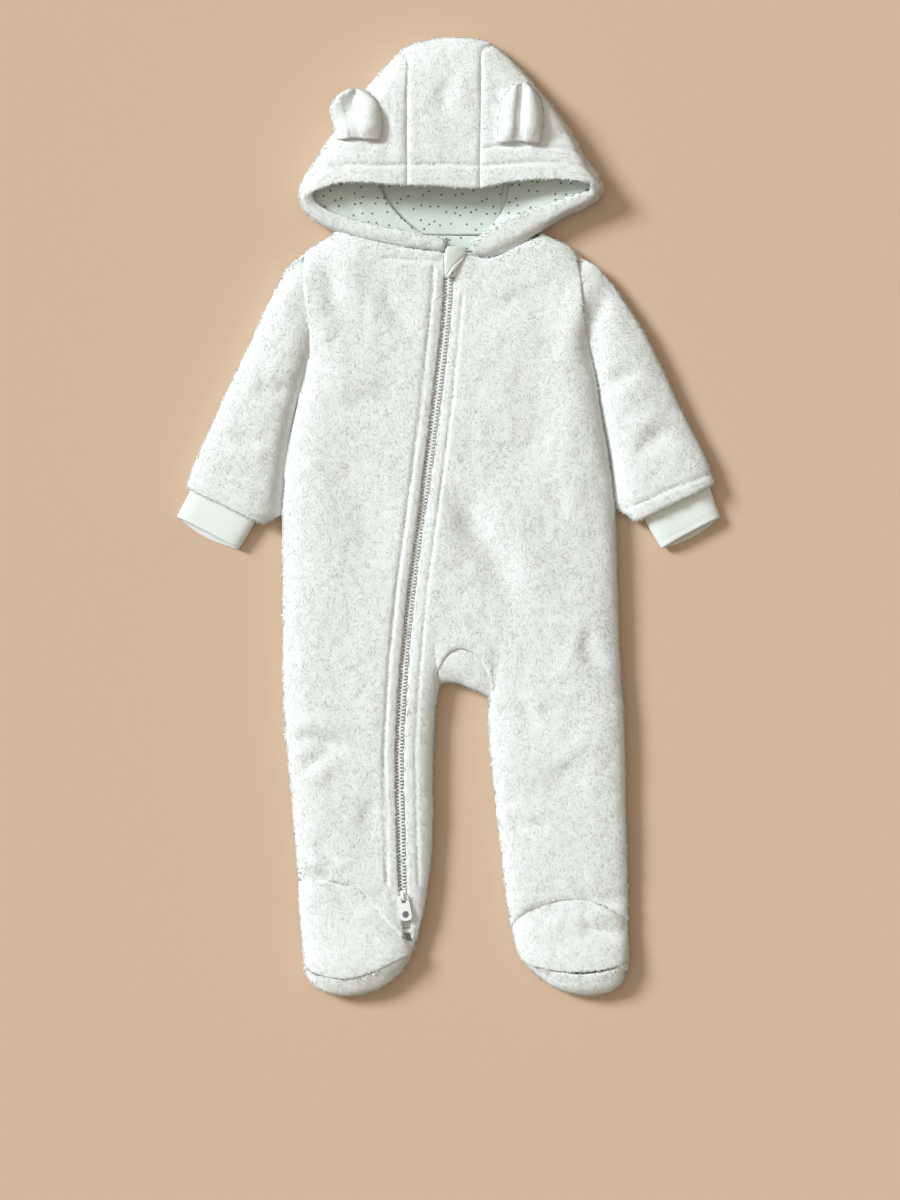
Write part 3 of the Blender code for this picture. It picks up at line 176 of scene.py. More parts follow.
# Stitched grooves, each with its line, its half width and its depth, in millimetres.
GROOVES = {
    "zip_left_topstitch": (beside_zip(-TOPSTITCH_FROM_ZIP, 200, -290), 1.7, 1.3),
    "zip_right_topstitch": (beside_zip(TOPSTITCH_FROM_ZIP, 176, -290), 1.6, 0.9),
    "neck_topstitch": (np.array([(-52, 207.2), (-43, 206.4), (-6, 204.6)]), 1.4, 0.9),
    "hood_hem": (
        np.array(
            [
                (-112, 267),
                (-98, 276.5),
                (-80, 280.5),
                (-61, 279),
                (-33, 279.6),
                (0, 280.2),
                (25, 279),
                (41, 280),
                (65, 281.6),
                (90, 281),
                (112, 276),
            ]
        ),
        1.8,
        1.3,
    ),
    "right_ear_foot": (
        np.array([(29, 293.6), (50, 294.8), (72, 295.2), (92, 292.6), (109, 288.8)]),
        1.6,
        1.2,
    ),
    "left_sleeve_hem": (np.array([(-206, 34.5), (-178, 22.5), (-146, 5)]), 1.8, 1.0),
    "right_sleeve_hem": (np.array([(209, 36), (178, 24), (144, 9)]), 1.8, 1.0),
}
EAR_FOLDS = {
    "left_ear_fold": (np.array([(-80, 331), (-77, 318), (-73, 297)]), 3.4, 4.2),
    "right_ear_fold": (np.array([(58.5, 340), (57, 318), (55.6, 296)]), 3.4, 4.2),
}
LINING_SEAMS = {
    "curved_seam": (np.array([(-33.2, 264.8), (-38.8, 245.6), (-43.6, 237.6)]), 0.8, 0.5),
    "curved_seam_edge": (np.array([(-30, 264), (-35.4, 245), (-39.6, 233)]), 0.7, 0.4),
    "straight_seam": (np.array([(22, 261.6), (23.6, 231.2)]), 0.7, 0.5),
}
CUFF_HEMS = {
    "left_cuff_hem": (np.array([(-214.4, 5.6), (-164.8, -20.6)]), 0.7, 0.35),
    "right_cuff_hem": (np.array([(215.4, 5.4), (167.4, -19.4)]), 0.7, 0.35),
}
GUARD_BINDING = {
    "bound_edge": (np.array([(12.6, 208.6), (8.6, 205.2), (2.6, 199.4), (-1, 193)]), 0.5, 0.5),
}

# One row for each cloth piece: its material slot, the size its cut fills laid flat, the area of
# that cut in square millimetres, the longest edge of its shell, and its share of pile length.
FLEECE, JERSEY, DOTTED, PLASTIC, TAPE = (
    "fleece",
    "jersey",
    "dotted_jersey",
    "zip_plastic",
    "zip_tape",
)
BODY_PANELS = {
    "back": (FLEECE, 280, 530, 127700, 3.2, 1.0),
    "front_left": (FLEECE, 134, 566, 53000, 2.8, 1.0),
    "front_right": (FLEECE, 182, 568, 72100, 3.0, 1.0),
    "crotch_gusset": (FLEECE, 50, 46, 2200, 2.4, 0.9),
}
SLEEVES = {
    "sleeve_left": (FLEECE, 165, 190, 22700, 2.8, 1.0),
    "sleeve_right": (FLEECE, 165, 190, 23300, 2.8, 1.0),
}
CUFFS = {
    "cuff_left": (JERSEY, 118, 37, 3900, 2.8, 0.0),
    "cuff_right": (JERSEY, 118, 38, 4100, 2.8, 0.0),
}
FEET = {
    "foot_top_left": (FLEECE, 98, 82, 5300, 2.4, 0.9),
    "foot_top_right": (FLEECE, 96, 62, 4700, 2.4, 0.9),
    "sole_left": (FLEECE, 114, 88, 8600, 2.4, 0.9),
    "sole_right": (FLEECE, 114, 88, 8600, 2.4, 0.9),
}
HOOD = {
    "hood_side_left": (FLEECE, 150, 180, 18400, 2.8, 0.95),
    "hood_side_right": (FLEECE, 150, 190, 22000, 2.8, 0.95),
    "hood_centre": (FLEECE, 76, 250, 17200, 2.8, 0.95),
}
EARS = {
    "ear_left": (FLEECE, 46, 50, 1800, 1.8, 0.85),
    "ear_right": (FLEECE, 46, 54, 2000, 1.8, 0.85),
}
LINING = {
    "hood_lining_left": (DOTTED, 95, 76, 3600, 2.8, 0.0),
    "hood_lining_right": (DOTTED, 92, 78, 3600, 2.8, 0.0),
    "hood_lining_back": (DOTTED, 84, 75, 5800, 2.6, 0.0),
    "neck_facing": (DOTTED, 60, 14, 800, 1.8, 0.0),
    "neck_label": (JERSEY, 10.6, 10.6, 110, 1.5, 0.0),
}
GUARD = {"chin_guard": (JERSEY, 22, 26, 340, 1.2, 0.0)}
TAPES = {
    "zip_tape_left": (TAPE, 10.8, 540, 5700, 6.0, 0.0),
    "zip_tape_right": (TAPE, 10.8, 540, 5700, 6.0, 0.0),
}

# Shell making. A face counts as seen if one of the looks leaves it without meeting anything:
# each ring of looks has its height on the unit sphere and its number of looks.
WELD = 1e-6
QUAD_FACE_ANGLE = math.radians(30)
QUAD_SHAPE_ANGLE = math.radians(60)
SMOOTH_LEVELS = 2
SHARP_ANGLE = math.radians(48)
BORDER_CREASE = 0.8
LOOK_RINGS = ((-0.05, 10), (0.25, 10), (0.55, 8), (0.85, 5), (1.0, 1))
RAY_START = 1.2 * MM
GRAZING = 0.08
SPLIT_ROUNDS = 9
EVEN_ROUNDS = 4
FLOOR_GAP = 0.1 * MM

# Pressing. The front's creases fade in over the first heights above the floor, the underside's
# fade out there. The pile's lift and the seams' push fade out beside the zip.
CREASE_STRENGTH = 1.5
FRONT_FROM, FRONT_TO = 3.5 * MM, 8.5 * MM
UNDER_STRENGTH = 0.5
UNDER_LIFT = 0.4 * MM
DEEPEST_PRESS = 1.3 * MM
PILE_LIFT = 1.5 * MM
ZIP_TOP, ZIP_FOOT = 205, -335
LIFT_CLEAR_OF_ZIP = 14
PUSH_CLEAR_OF_ZIP = (2, 12)

# How far the hidden edge of a piece is pushed out at its seams, in millimetres.
SEAM_FILL = {
    None: 1.2,
    "sleeve_left": 2.0,
    "sleeve_right": 2.0,
    "front_left": 1.6,
    "front_right": 1.6,
    "crotch_gusset": 1.4,
    "foot_top_left": 1.4,
    "foot_top_right": 1.4,
    "sole_left": 1.4,
    "sole_right": 1.4,
    "ear_left": 0.4,
    "ear_right": 0.4,
    "neck_facing": 1.4,
    "hood_lining_back": 1.2,
}
JERSEY_FILL = 0.2
FILL_ROUNDS = 2
FILL_GAIN = 2.5

# The neighbours that a piece is drawn up to along their seam, and how far it reaches for them.
SEWN_TO = {
    "crotch_gusset": ("front_left", "front_right"),
    "foot_top_left": ("front_left",),
    "foot_top_right": ("front_right",),
    "sole_left": ("foot_top_left",),
    "sole_right": ("foot_top_right",),
    "sleeve_left": ("front_left", "back"),
    "sleeve_right": ("front_right", "back"),
}
SEAM_REACH = 4.6 * MM
SEAM_LEFT = 0.2 * MM

# How far the lining's back is drawn out to each side under its neighbours, and where that starts
# and is complete on the right and on the left.
LINING_TUCK = 8.0 * MM
TUCK_RIGHT = (14 * MM, 25 * MM)
TUCK_LEFT = (-24 * MM, -34 * MM)

# Pile. A tuft is two narrow faces that meet in a ridge. Its foot's corners are (across, above) in
# radii, the ridge's own first. Its lean mixes the nap, the pull of its clump and chance.
TUFTS_PER_SQUARE_MM = 0.42
TUFT_RADIUS = 0.72 * MM
TUFT_FOOT = ((0.0, 0.2), (-1.0, -0.14), (1.0, -0.14))
TUFT_FACES = ((0, 1, 3), (2, 0, 3))
TUFT_TILT = (75, 86)
TUFT_TILT_ON_SIDES = 16
TUFT_LENGTHS = (0.6, 1.15)
TUFT_WIDTHS = (0.75, 1.25)
NAP = (0.12, -1.0, 0.0)
NAP_SHARE, CLUMP_SHARE, CHANCE_SHARE = 0.55, 0.8, 0.6
CLUMP = 5.5
CLUMP_STEP = 0.8 * MM
IN_GROOVE = 0.6
# Painted shade on the cloth under the pile: 0 is the full painted shade of the tufts' roots, 0.8
# or more is none.
GROUND_OUT_OF_PAINTED_SHADE = 0.25

RANDOM_TABLE = np.random.default_rng(11).uniform(-1.0, 1.0, 4096)
SCRAMBLE = (73856093, 19349663, 83492791)


def noise(points, size, seed):
    """A soft random field from -1 to 1 whose lumps are about size millimetres across."""
    place = points / (size * MM) + seed * 17.31
    cell = np.floor(place).astype(np.int64)
    part = place - cell
    part = part * part * (3 - 2 * part)
    total = np.zeros(len(points))
    for corner in np.ndindex(2, 2, 2):
        at = cell + corner
        key = (at[:, 0] * SCRAMBLE[0]) ^ (at[:, 1] * SCRAMBLE[1]) ^ (at[:, 2] * SCRAMBLE[2])
        share = np.where(corner, part, 1 - part).prod(1)
        total += share * RANDOM_TABLE[key & 4095]
    return total


def fade(low, high, value):
    """0 at low and 1 at high, with a smooth turn between them."""
    share = np.clip((value - low) / (high - low), 0, 1)
    return share * share * (3 - 2 * share)


def crease_height(points, creases):
    """How far a set of creases lifts each point, in metres."""
    flat = points[:, :2] / MM
    height = np.zeros(len(points))
    for from_x, from_y, to_x, to_y, width, depth, side in rows_of(creases):
        run = np.array([to_x - from_x, to_y - from_y])
        length = np.linalg.norm(run)
        run = run / length
        offset = flat - (from_x, from_y)
        along = offset @ run / length
        across = offset @ (-run[1], run[0])
        across = across + 0.4 * width * np.sin(4.1 * along + from_x)
        ends = fade(-0.2, 0.3, along) * fade(1.25, 0.6, along)
        trough = np.exp(-((across / width) ** 2))
        ridge = np.exp(-(((across - 1.9 * side * width) / (1.4 * width)) ** 2))
        height += CREASE_STRENGTH * depth * ends * (0.6 * ridge - trough)
    return height * MM


def distance_to(points, line):
    """Distance in millimetres from each point to a broken line, seen from above."""
    flat = points[:, :2] / MM
    nearest = np.full(len(points), np.inf)
    for start, end in zip(line[:-1], line[1:]):
        run = end - start
        share = np.clip((flat - start) @ run / (run @ run), 0, 1)
        nearest = np.minimum(nearest, np.linalg.norm(flat - start - share[:, None] * run, axis=1))
    return nearest


def groove_share(points, grooves):
    """(depth in metres, share from 0 to 1) of the stitched grooves at each point."""
    depth, share = np.zeros(len(points)), np.zeros(len(points))
    for line, width, deep in grooves.values():
        near = np.exp(-((distance_to(points, line) / width) ** 2))
        depth = np.maximum(depth, near * deep * MM)
        share = np.maximum(share, near)
    return depth, share


def numbers(collection, field, width, kind=np.float64):
    """One field of a mesh collection as an array."""
    found = np.empty(len(collection) * width, kind)
    collection.foreach_get(field, found)
    return found.reshape(-1, width) if width > 1 else found


def all_faces():
    """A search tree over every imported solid, to find which faces can be seen."""
    points, faces, first = [], [], 0
    for node in NODES.values():
        mesh = node.data
        mesh.calc_loop_triangles()
        points.append(numbers(mesh.vertices, "co", 3))
        faces.append(numbers(mesh.loop_triangles, "vertices", 3, np.int32) + first)
        first += len(mesh.vertices)
    return BVHTree.FromPolygons(np.concatenate(points).tolist(), np.concatenate(faces).tolist())


ALL_FACES = all_faces()


def look_directions():
    """Directions spread over the upper half of the sky, and a little below the horizon."""
    found = []
    for height, count in LOOK_RINGS:
        flat = math.sqrt(1 - height * height)
        for step in range(count):
            turn = math.tau * (step + 0.5 * height) / count
            found.append(Vector((flat * math.cos(turn), flat * math.sin(turn), height)))
    return found


LOOKS = look_directions()


def is_seen(place, normal):
    """True if a line from this place leaves the object without meeting any of it."""
    start = place + normal * RAY_START
    for look in LOOKS:
        if look.dot(normal) > GRAZING and ALL_FACES.ray_cast(start, look)[0] is None:
            return True
    return False


class Shell:
    """A piece's surface as points and triangles, with a mark on the triangles that can be seen."""

    def __init__(self, points, triangles, shown):
        self.points, self.triangles, self.shown = points, triangles, shown

    def normals(self):
        """Each point's normal, weighted by the areas of the triangles round it."""
        a, b, c = (self.points[self.triangles[:, i]] for i in range(3))
        face = np.cross(b - a, c - a)
        total = np.zeros_like(self.points)
        for i in range(3):
            np.add.at(total, self.triangles[:, i], face)
        return total / np.maximum(np.linalg.norm(total, axis=1), 1e-20)[:, None]

    def areas(self):
        """Each triangle's area."""
        a, b, c = (self.points[self.triangles[:, i]] for i in range(3))
        return np.linalg.norm(np.cross(b - a, c - a), axis=1) / 2

    def edges(self):
        """Each edge once, as its two points."""
        ends = self.triangles[:, [0, 1, 1, 2, 2, 0]].reshape(-1, 2)
        return np.unique(np.sort(ends, 1), axis=0)

    def seen_points(self):
        """1 on points with only seen triangles round them, 0 on the others."""
        seen = np.ones(len(self.points))
        seen[self.triangles[~self.shown].ravel()] = 0.0
        return seen

    def spread(self, values, rounds, strength=0.5):
        """Values on the points, evened out along the edges."""
        edges = self.edges()
        count = np.bincount(edges.ravel(), minlength=len(self.points)).astype(float)
        values = np.array(values, float)
        for _ in range(rounds):
            total = np.zeros_like(values)
            np.add.at(total, edges[:, 0], values[edges[:, 1]])
            np.add.at(total, edges[:, 1], values[edges[:, 0]])
            mean = (total.T / np.maximum(count, 1)).T
            values = values + strength * (mean - values)
        return values


def smoothed_shell(name):
    """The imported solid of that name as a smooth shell, with its seen triangles marked."""
    work = bmesh.new()
    work.from_mesh(NODES[name].data)
    bmesh.ops.remove_doubles(work, verts=work.verts, dist=WELD)
    bmesh.ops.join_triangles(
        work,
        faces=work.faces,
        angle_face_threshold=QUAD_FACE_ANGLE,
        angle_shape_threshold=QUAD_SHAPE_ANGLE,
    )
    work.normal_update()
    crease = work.edges.layers.float.new("crease_edge")
    for edge in work.edges:
        if len(edge.link_faces) == 2 and edge.calc_face_angle() > SHARP_ANGLE:
            edge[crease] = BORDER_CREASE
    for face in work.faces:
        face.material_index = int(is_seen(face.calc_center_median(), face.normal))
        face.smooth = True
    mesh = bpy.data.meshes.new(name + "_form")
    work.to_mesh(mesh)
    work.free()
    mesh.materials.append(None)
    mesh.materials.append(None)
    form = bpy.data.objects.new(name + "_form", mesh)
    bpy.context.scene.collection.objects.link(form)
    rounding = form.modifiers.new("rounding", "SUBSURF")
    rounding.levels = rounding.render_levels = SMOOTH_LEVELS
    made = form.evaluated_get(bpy.context.evaluated_depsgraph_get())
    result = made.to_mesh()
    result.calc_loop_triangles()
    points = numbers(result.vertices, "co", 3)
    triangles = numbers(result.loop_triangles, "vertices", 3, np.int64)
    shown = numbers(result.loop_triangles, "material_index", 1, np.int32) == 1
    made.to_mesh_clear()
    bpy.data.objects.remove(form)
    bpy.data.meshes.remove(mesh)
    return Shell(points, triangles, shown)


def split_round(shell, longest):
    """Splits each edge of a seen triangle that is longer than longest. False if there is none."""
    ends = shell.triangles[:, [[0, 1], [1, 2], [2, 0]]]
    length = np.linalg.norm(shell.points[ends[..., 0]] - shell.points[ends[..., 1]], axis=2)
    low, high = ends.min(2), ends.max(2)
    keys, place = np.unique(low * len(shell.points) + high, return_inverse=True)
    place = place.reshape(low.shape)
    marked = np.zeros(len(keys), bool)
    marked[place[(length > longest) & shell.shown[:, None]]] = True
    if not marked.any():
        return False
    middle = np.full(len(keys), -1, np.int64)
    middle[marked] = len(shell.points) + np.arange(marked.sum())
    first, second = keys[marked] // len(shell.points), keys[marked] % len(shell.points)
    shell.points = np.concatenate(
        [shell.points, (shell.points[first] + shell.points[second]) / 2]
    )
    middle = middle[place]
    corner, count = shell.triangles, (middle >= 0).sum(1)
    pieces, shown = [corner[count == 0]], [shell.shown[count == 0]]
    turn_for = {1: lambda m: np.argmax(m >= 0, 1), 2: lambda m: (np.argmax(m < 0, 1) + 1) % 3}
    for number in (1, 2, 3):
        pick = count == number
        c, m, s = corner[pick], middle[pick], shell.shown[pick]
        if number in turn_for:
            order = (turn_for[number](m)[:, None] + np.arange(3)) % 3
            c, m = np.take_along_axis(c, order, 1), np.take_along_axis(m, order, 1)
        a, b, d = c.T
        ab, bd, da = m.T
        made = {
            1: ((a, ab, d), (ab, b, d)),
            2: ((ab, b, bd), (a, ab, bd), (a, bd, d)),
            3: ((a, ab, da), (ab, b, bd), (da, bd, d), (ab, bd, da)),
        }[number]
        for triangle in made:
            pieces.append(np.stack(triangle, 1))
            shown.append(s)
    shell.triangles, shell.shown = np.concatenate(pieces), np.concatenate(shown)
    return True


def fine_shell(name, longest):
    """The piece's smooth shell, split until no seen edge is longer than longest."""
    shell = smoothed_shell(name)
    for _ in range(SPLIT_ROUNDS):
        if not split_round(shell, longest):
            break
    if name == "hood_lining_back":
        x = shell.points[:, 0]
        shell.points[:, 0] = x + LINING_TUCK * (fade(*TUCK_RIGHT, x) - fade(*TUCK_LEFT, x))
    free = shell.seen_points()[:, None]
    shell.points = shell.points + free * (shell.spread(shell.points, EVEN_ROUNDS) - shell.points)
    return shell


def surface_lumps(points, fleece):
    """Height of the cloth's own unevenness at each point, in metres."""
    broad = 0.9 * noise(points, 70, 1) + 0.6 * noise(points, 34, 2)
    if not fleece:
        return (0.12 * noise(points, 26, 5) + 0.05 * noise(points, 9, 6)) * MM
    clumps = 0.24 * noise(points, 13, 3) + 0.2 * noise(points, 6.5, 4) + 0.12 * noise(points, 3, 7)
    return (broad + clumps) * MM


def mesh_of(name, points, triangles):
    """A mesh of these triangles, in metres."""
    mesh = bpy.data.meshes.new(name)
    mesh.vertices.add(len(points))
    mesh.vertices.foreach_set("co", points.astype(np.float32).ravel())
    mesh.loops.add(triangles.size)
    mesh.loops.foreach_set("vertex_index", triangles.astype(np.int32).ravel())
    mesh.polygons.add(len(triangles))
    mesh.polygons.foreach_set("loop_start", np.arange(0, triangles.size, 3, dtype=np.int32))
    mesh.polygons.foreach_set("use_smooth", np.ones(len(triangles), bool))
    mesh.update(calc_edges=True)
    return mesh


def add_number(mesh, name, values):
    """A named number on every point, which the materials read."""
    layer = mesh.attributes.new(name, "FLOAT", "POINT")
    layer.data.foreach_set("value", values.astype(np.float32))


def add_map(mesh, points, triangles, two_sided):
    """A flat map seen from above for the export, with the underside beside the top."""
    low, high = points.min(0), points.max(0)
    size = np.maximum(high - low, 1e-6)
    tilt = 0.3 * (points[:, 2:] - low[2])
    spot = (points[:, :2] - low[:2] + tilt) / (size[:2] + 0.3 * size[2])
    corner = spot[triangles]
    if two_sided:
        a, b, c = (points[triangles[:, i]] for i in range(3))
        down = np.cross(b - a, c - a)[:, 2] < 0
        corner[..., 0] = corner[..., 0] * 0.49 + np.where(down, 0.505, 0.0)[:, None]
    layer = mesh.uv_layers.new(name="OFBake")
    layer.uv.foreach_set("vector", (0.002 + 0.996 * corner).astype(np.float32).ravel())


def add_object(name, mesh, material, slot, body):
    """A shown piece with its material, under the body that it rides; its slot is not used."""
    piece = bpy.data.objects.new(name, mesh)
    bpy.context.scene.collection.objects.link(piece)
    mesh.materials.append(material)
    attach(piece, body)
    return piece


def scattered(shell, random):
    """Even but random places on the seen triangles: their corners and the share of each."""
    triangles = shell.triangles[shell.shown]
    area = shell.areas()[shell.shown]
    count = int(area.sum() / MM**2 * TUFTS_PER_SQUARE_MM)
    total = np.cumsum(area)
    pick = np.searchsorted(total, (np.arange(count) + random.random(count)) / count * total[-1])
    pick = np.minimum(pick, len(triangles) - 1)
    u, v = random.random(count), random.random(count)
    u, v = np.where(u + v > 1, 1 - u, u), np.where(u + v > 1, 1 - v, v)
    return triangles[pick], np.stack([1 - u - v, u, v], 1)[..., None]


def lean_of(roots, up, random):
    """The direction along the cloth in which each tuft lies."""
    pull = np.stack(
        [
            noise(roots + step, CLUMP, 21) - noise(roots - step, CLUMP, 21)
            for step in CLUMP_STEP * np.eye(3)
        ],
        1,
    )
    pull /= np.maximum(np.linalg.norm(pull, axis=1), 1e-9)[:, None]
    chance = random.normal(size=roots.shape)
    lean = NAP_SHARE * np.array(NAP) + CLUMP_SHARE * pull + CHANCE_SHARE * chance
    lean -= up * (lean * up).sum(1)[:, None]
    return lean / np.maximum(np.linalg.norm(lean, axis=1), 1e-9)[:, None]


def grow_pile(name, shell, settings, grooves, length_share, seed):
    """A mesh of small pointed tufts on the seen part of a shell."""
    random = np.random.default_rng(seed)
    corner, weight = scattered(shell, random)
    count = len(corner)
    roots = (shell.points[corner] * weight).sum(1)
    up = (shell.spread(shell.normals(), 3)[corner] * weight).sum(1)
    up /= np.linalg.norm(up, axis=1)[:, None]
    lean = lean_of(roots, up, random)
    side = np.cross(up, lean)
    on_side = 1 - fade(0.25, 0.7, up[:, 2])
    tilt = np.radians(random.uniform(*TUFT_TILT, count) - TUFT_TILT_ON_SIDES * on_side)[:, None]
    rise = up * np.cos(tilt) + lean * np.sin(tilt)
    _, pressed = groove_share(roots, grooves)
    length = settings.pile_length * length_share * random.uniform(*TUFT_LENGTHS, count)
    length *= (1 - IN_GROOVE * pressed) * (1 + 0.18 * noise(roots, 9, 23))
    radius = TUFT_RADIUS * random.uniform(*TUFT_WIDTHS, count)[:, None]
    points = np.empty((count, 4, 3))
    for i, (across, above) in enumerate(TUFT_FOOT):
        points[:, i] = roots + radius * (across * side + above * up)
    points[:, 3] = roots + rise * length[:, None]
    shading = np.empty((count, 4, 3))
    shading[:, :3] = up[:, None]
    shading[:, 3] = 0.85 * up + 0.15 * rise
    points[..., 2] = np.maximum(points[..., 2], FLOOR_GAP)
    faces = (np.arange(count)[:, None, None] * 4 + np.array(TUFT_FACES)).reshape(-1, 3)
    points, shading = points.reshape(-1, 3), shading.reshape(-1, 3)
    mesh = mesh_of(name, points, faces)
    add_map(mesh, points, faces, False)
    # Painted shade: each tuft's foot corners get 0, the darkest painted shade, and its tip 1,
    # clear of it.
    add_number(mesh, "out_of_painted_shade", np.tile([0.0, 0.0, 0.0, 1.0], count))
    shading /= np.linalg.norm(shading, axis=1)[:, None]
    mesh.normals_split_custom_set_from_vertices(shading.tolist())
    return mesh


def drawn_up(name, points):
    """The piece's points, with those near a neighbour that it is sewn to drawn up to that one."""
    for neighbour in SEWN_TO.get(name, ()):
        form = NODES[neighbour].data
        faces = [tuple(face.vertices) for face in form.polygons]
        tree = BVHTree.FromPolygons([vertex.co for vertex in form.vertices], faces)
        places = points.tolist()
        found = [tree.find_nearest(place, 3 * SEAM_REACH)[0] for place in places]
        near = [place if hit is None else hit for hit, place in zip(found, places)]
        way = np.array(near) - points
        length = np.maximum(np.linalg.norm(way, axis=1), 1e-9)
        share = 1 - fade(0.8 * SEAM_REACH, 3 * SEAM_REACH, length)
        step = np.minimum(SEAM_REACH * share, np.maximum(length - SEAM_LEFT, 0))
        step[length < 1e-8] = 0
        points = points + way * (step / length)[:, None]
    return points


def seam_push(shell, up, seen, most):
    """How far each point moves sideways, up to most, to bring hidden edges to their neighbours."""
    sideways = up * (1, 1, 0)
    sideways /= np.maximum(np.linalg.norm(sideways, axis=1), 1e-6)[:, None]
    fringe = np.clip(4 * seen, 0, 1) * (1 - shell.seen_points())
    fringe *= fade(0.95, 0.6, np.abs(up[:, 2]))
    reach = shell.spread(fringe, FILL_ROUNDS)
    push = shell.spread(sideways * fringe[:, None], FILL_ROUNDS)
    push /= np.maximum(reach, 1e-3)[:, None]
    return push * (most * np.clip(FILL_GAIN * reach, 0, 1))[:, None]


def pressed_shell(name, longest, fleece, creases, grooves):
    """The piece's shell with its creases, grooves and lumps pressed in."""
    shell = fine_shell(name, longest)
    up = shell.normals()
    seen = shell.spread(shell.seen_points(), 3)
    points = shell.points
    from_zip = distance_to(points, beside_zip(0, ZIP_TOP, ZIP_FOOT))
    upper = fade(FRONT_FROM, FRONT_TO, points[:, 2])
    bend = crease_height(points, creases) * upper
    if name == "back":
        under = UNDER_LIFT - UNDER_STRENGTH * crease_height(points, UNDER_CREASES)
        bend += under * (1 - upper)
    depth, _ = groove_share(points, grooves)
    outward = surface_lumps(points, fleece) * seen - depth * seen * (up[:, 2] > 0.05)
    outward = np.maximum(outward, -DEEPEST_PRESS)
    if fleece:
        away = fade(0, LIFT_CLEAR_OF_ZIP, from_zip)
        outward += PILE_LIFT * seen * away * fade(0.3, 0.85, up[:, 2])
    fill = SEAM_FILL.get(name, SEAM_FILL[None] if fleece else JERSEY_FILL) * MM
    push = seam_push(shell, up, seen, fill * fade(*PUSH_CLEAR_OF_ZIP, from_zip))
    points = drawn_up(name, points + up * outward[:, None] + push)
    points[:, 2] += bend
    points[:, 2] = np.maximum(points[:, 2], FLOOR_GAP)
    shell.points = points
    return shell


def add_cloth(name, row, settings, creases, grooves):
    """Builds one cloth piece, with its pile if it has one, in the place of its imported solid."""
    slot, width, length, area, longest, pile = row
    shell = pressed_shell(name, longest * MM, slot == FLEECE, creases, grooves)
    mesh = mesh_of(name + "_cloth", shell.points, shell.triangles)
    add_map(mesh, shell.points, shell.triangles, True)
    # Painted shade: the ground between the tufts gets a darker colour, as the shade among the
    # pile.
    add_number(mesh, "out_of_painted_shade", np.full(len(shell.points), GROUND_OUT_OF_PAINTED_SHADE))
    cloth = add_object(name + "_cloth", mesh, MATERIALS[slot](settings), slot, GARMENT)
    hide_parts(name)
    if pile:
        seed = 100 + sorted(NODES).index(name)
        tufts = grow_pile(name + "_pile", shell, settings, grooves, pile, seed)
        add_object(name + "_pile", tufts, pile_material(settings), slot, GARMENT)


# Materials.


class Nodes:
    """A short way to write a material's nodes."""

    def __init__(self, name):
        self.material = bpy.data.materials.new(name)
        self.material.use_nodes = True
        self.tree = self.material.node_tree
        self.shader = self.tree.nodes["Principled BSDF"]
        self.place = self.add("ShaderNodeTexCoord").outputs["Object"]

    def add(self, kind, inputs=None, **settings):
        """A node with its inputs linked or set."""
        node = self.tree.nodes.new(kind)
        for key, value in settings.items():
            setattr(node, key, value)
        for key, value in (inputs or {}).items():
            if isinstance(value, bpy.types.NodeSocket):
                self.tree.links.new(value, node.inputs[key])
            else:
                node.inputs[key].default_value = value
        return node

    def noise(self, scale, detail=2.0):
        inputs = {"Vector": self.place, "Scale": scale, "Detail": detail}
        return self.add("ShaderNodeTexNoise", inputs).outputs["Fac"]

    def ramp(self, value, low, high):
        """0 where the value is low and 1 where it is high."""
        inputs = {"Value": value, "From Min": low, "From Max": high}
        return self.add("ShaderNodeMapRange", inputs, clamp=True).outputs["Result"]

    def product(self, first, second):
        return self.add("ShaderNodeMath", {0: first, 1: second}, operation="MULTIPLY").outputs[0]

    def mix(self, share, first, second):
        node = self.add("ShaderNodeMix", {"Factor": share}, data_type="RGBA")
        for socket, value in ((node.inputs[6], first), (node.inputs[7], second)):
            if isinstance(value, bpy.types.NodeSocket):
                self.tree.links.new(value, socket)
            else:
                socket.default_value = (*value, 1.0)
        return node.outputs[2]

    def bump(self, height, strength, distance):
        """Relief of that many metres at full strength."""
        inputs = {"Height": height, "Strength": strength, "Distance": distance}
        self.link(self.add("ShaderNodeBump", inputs).outputs[0], "Normal")

    def link(self, value, socket):
        self.tree.links.new(value, self.shader.inputs[socket])

    def set(self, **values):
        """Constant values on the shader's own sockets."""
        for key, value in values.items():
            self.shader.inputs[key.replace("_", " ")].default_value = value


def once(make):
    """Makes a material at its first use and gives the same one after that."""
    made = {}

    def get(settings):
        if "it" not in made:
            made["it"] = make(settings)
        return made["it"]

    return get


def shade_of(colour, share, tint=(0.955, 1.0, 0.975)):
    """A darker, slightly greener neighbour of a colour."""
    return tuple(c * share * t for c, t in zip(colour, tint))


def fleece(settings, name):
    """Long matt pile, with painted shade, darker and greener, at the tufts' roots and on the
    ground between them.
    """
    nodes = Nodes(name)
    colour = tuple(settings.fleece_colour)
    out_of_painted_shade = nodes.add("ShaderNodeAttribute", attribute_name="out_of_painted_shade").outputs["Fac"]
    patches = nodes.ramp(nodes.noise(42.0, 3.0), 0.35, 0.68)
    light = nodes.mix(patches, shade_of(colour, 0.985), colour)
    # Painted shade: where the number is low, at the roots and on the ground between the tufts, the
    # colour is darker and greener, standing in for the pile's own shade.
    from_root = nodes.ramp(out_of_painted_shade, 0.0, 0.8)
    nodes.link(nodes.mix(from_root, shade_of(colour, 0.93), light), "Base Color")
    nodes.bump(nodes.noise(1400.0, 3.0), 0.35, 0.6 * MM)
    nodes.set(Roughness=0.95, Sheen_Weight=0.25, Sheen_Roughness=0.6, Specular_IOR_Level=0.15)
    return nodes.material


@once
def fleece_material(settings):
    """The fleece's ground, on its shells."""
    return fleece(settings, "fleece_ground")


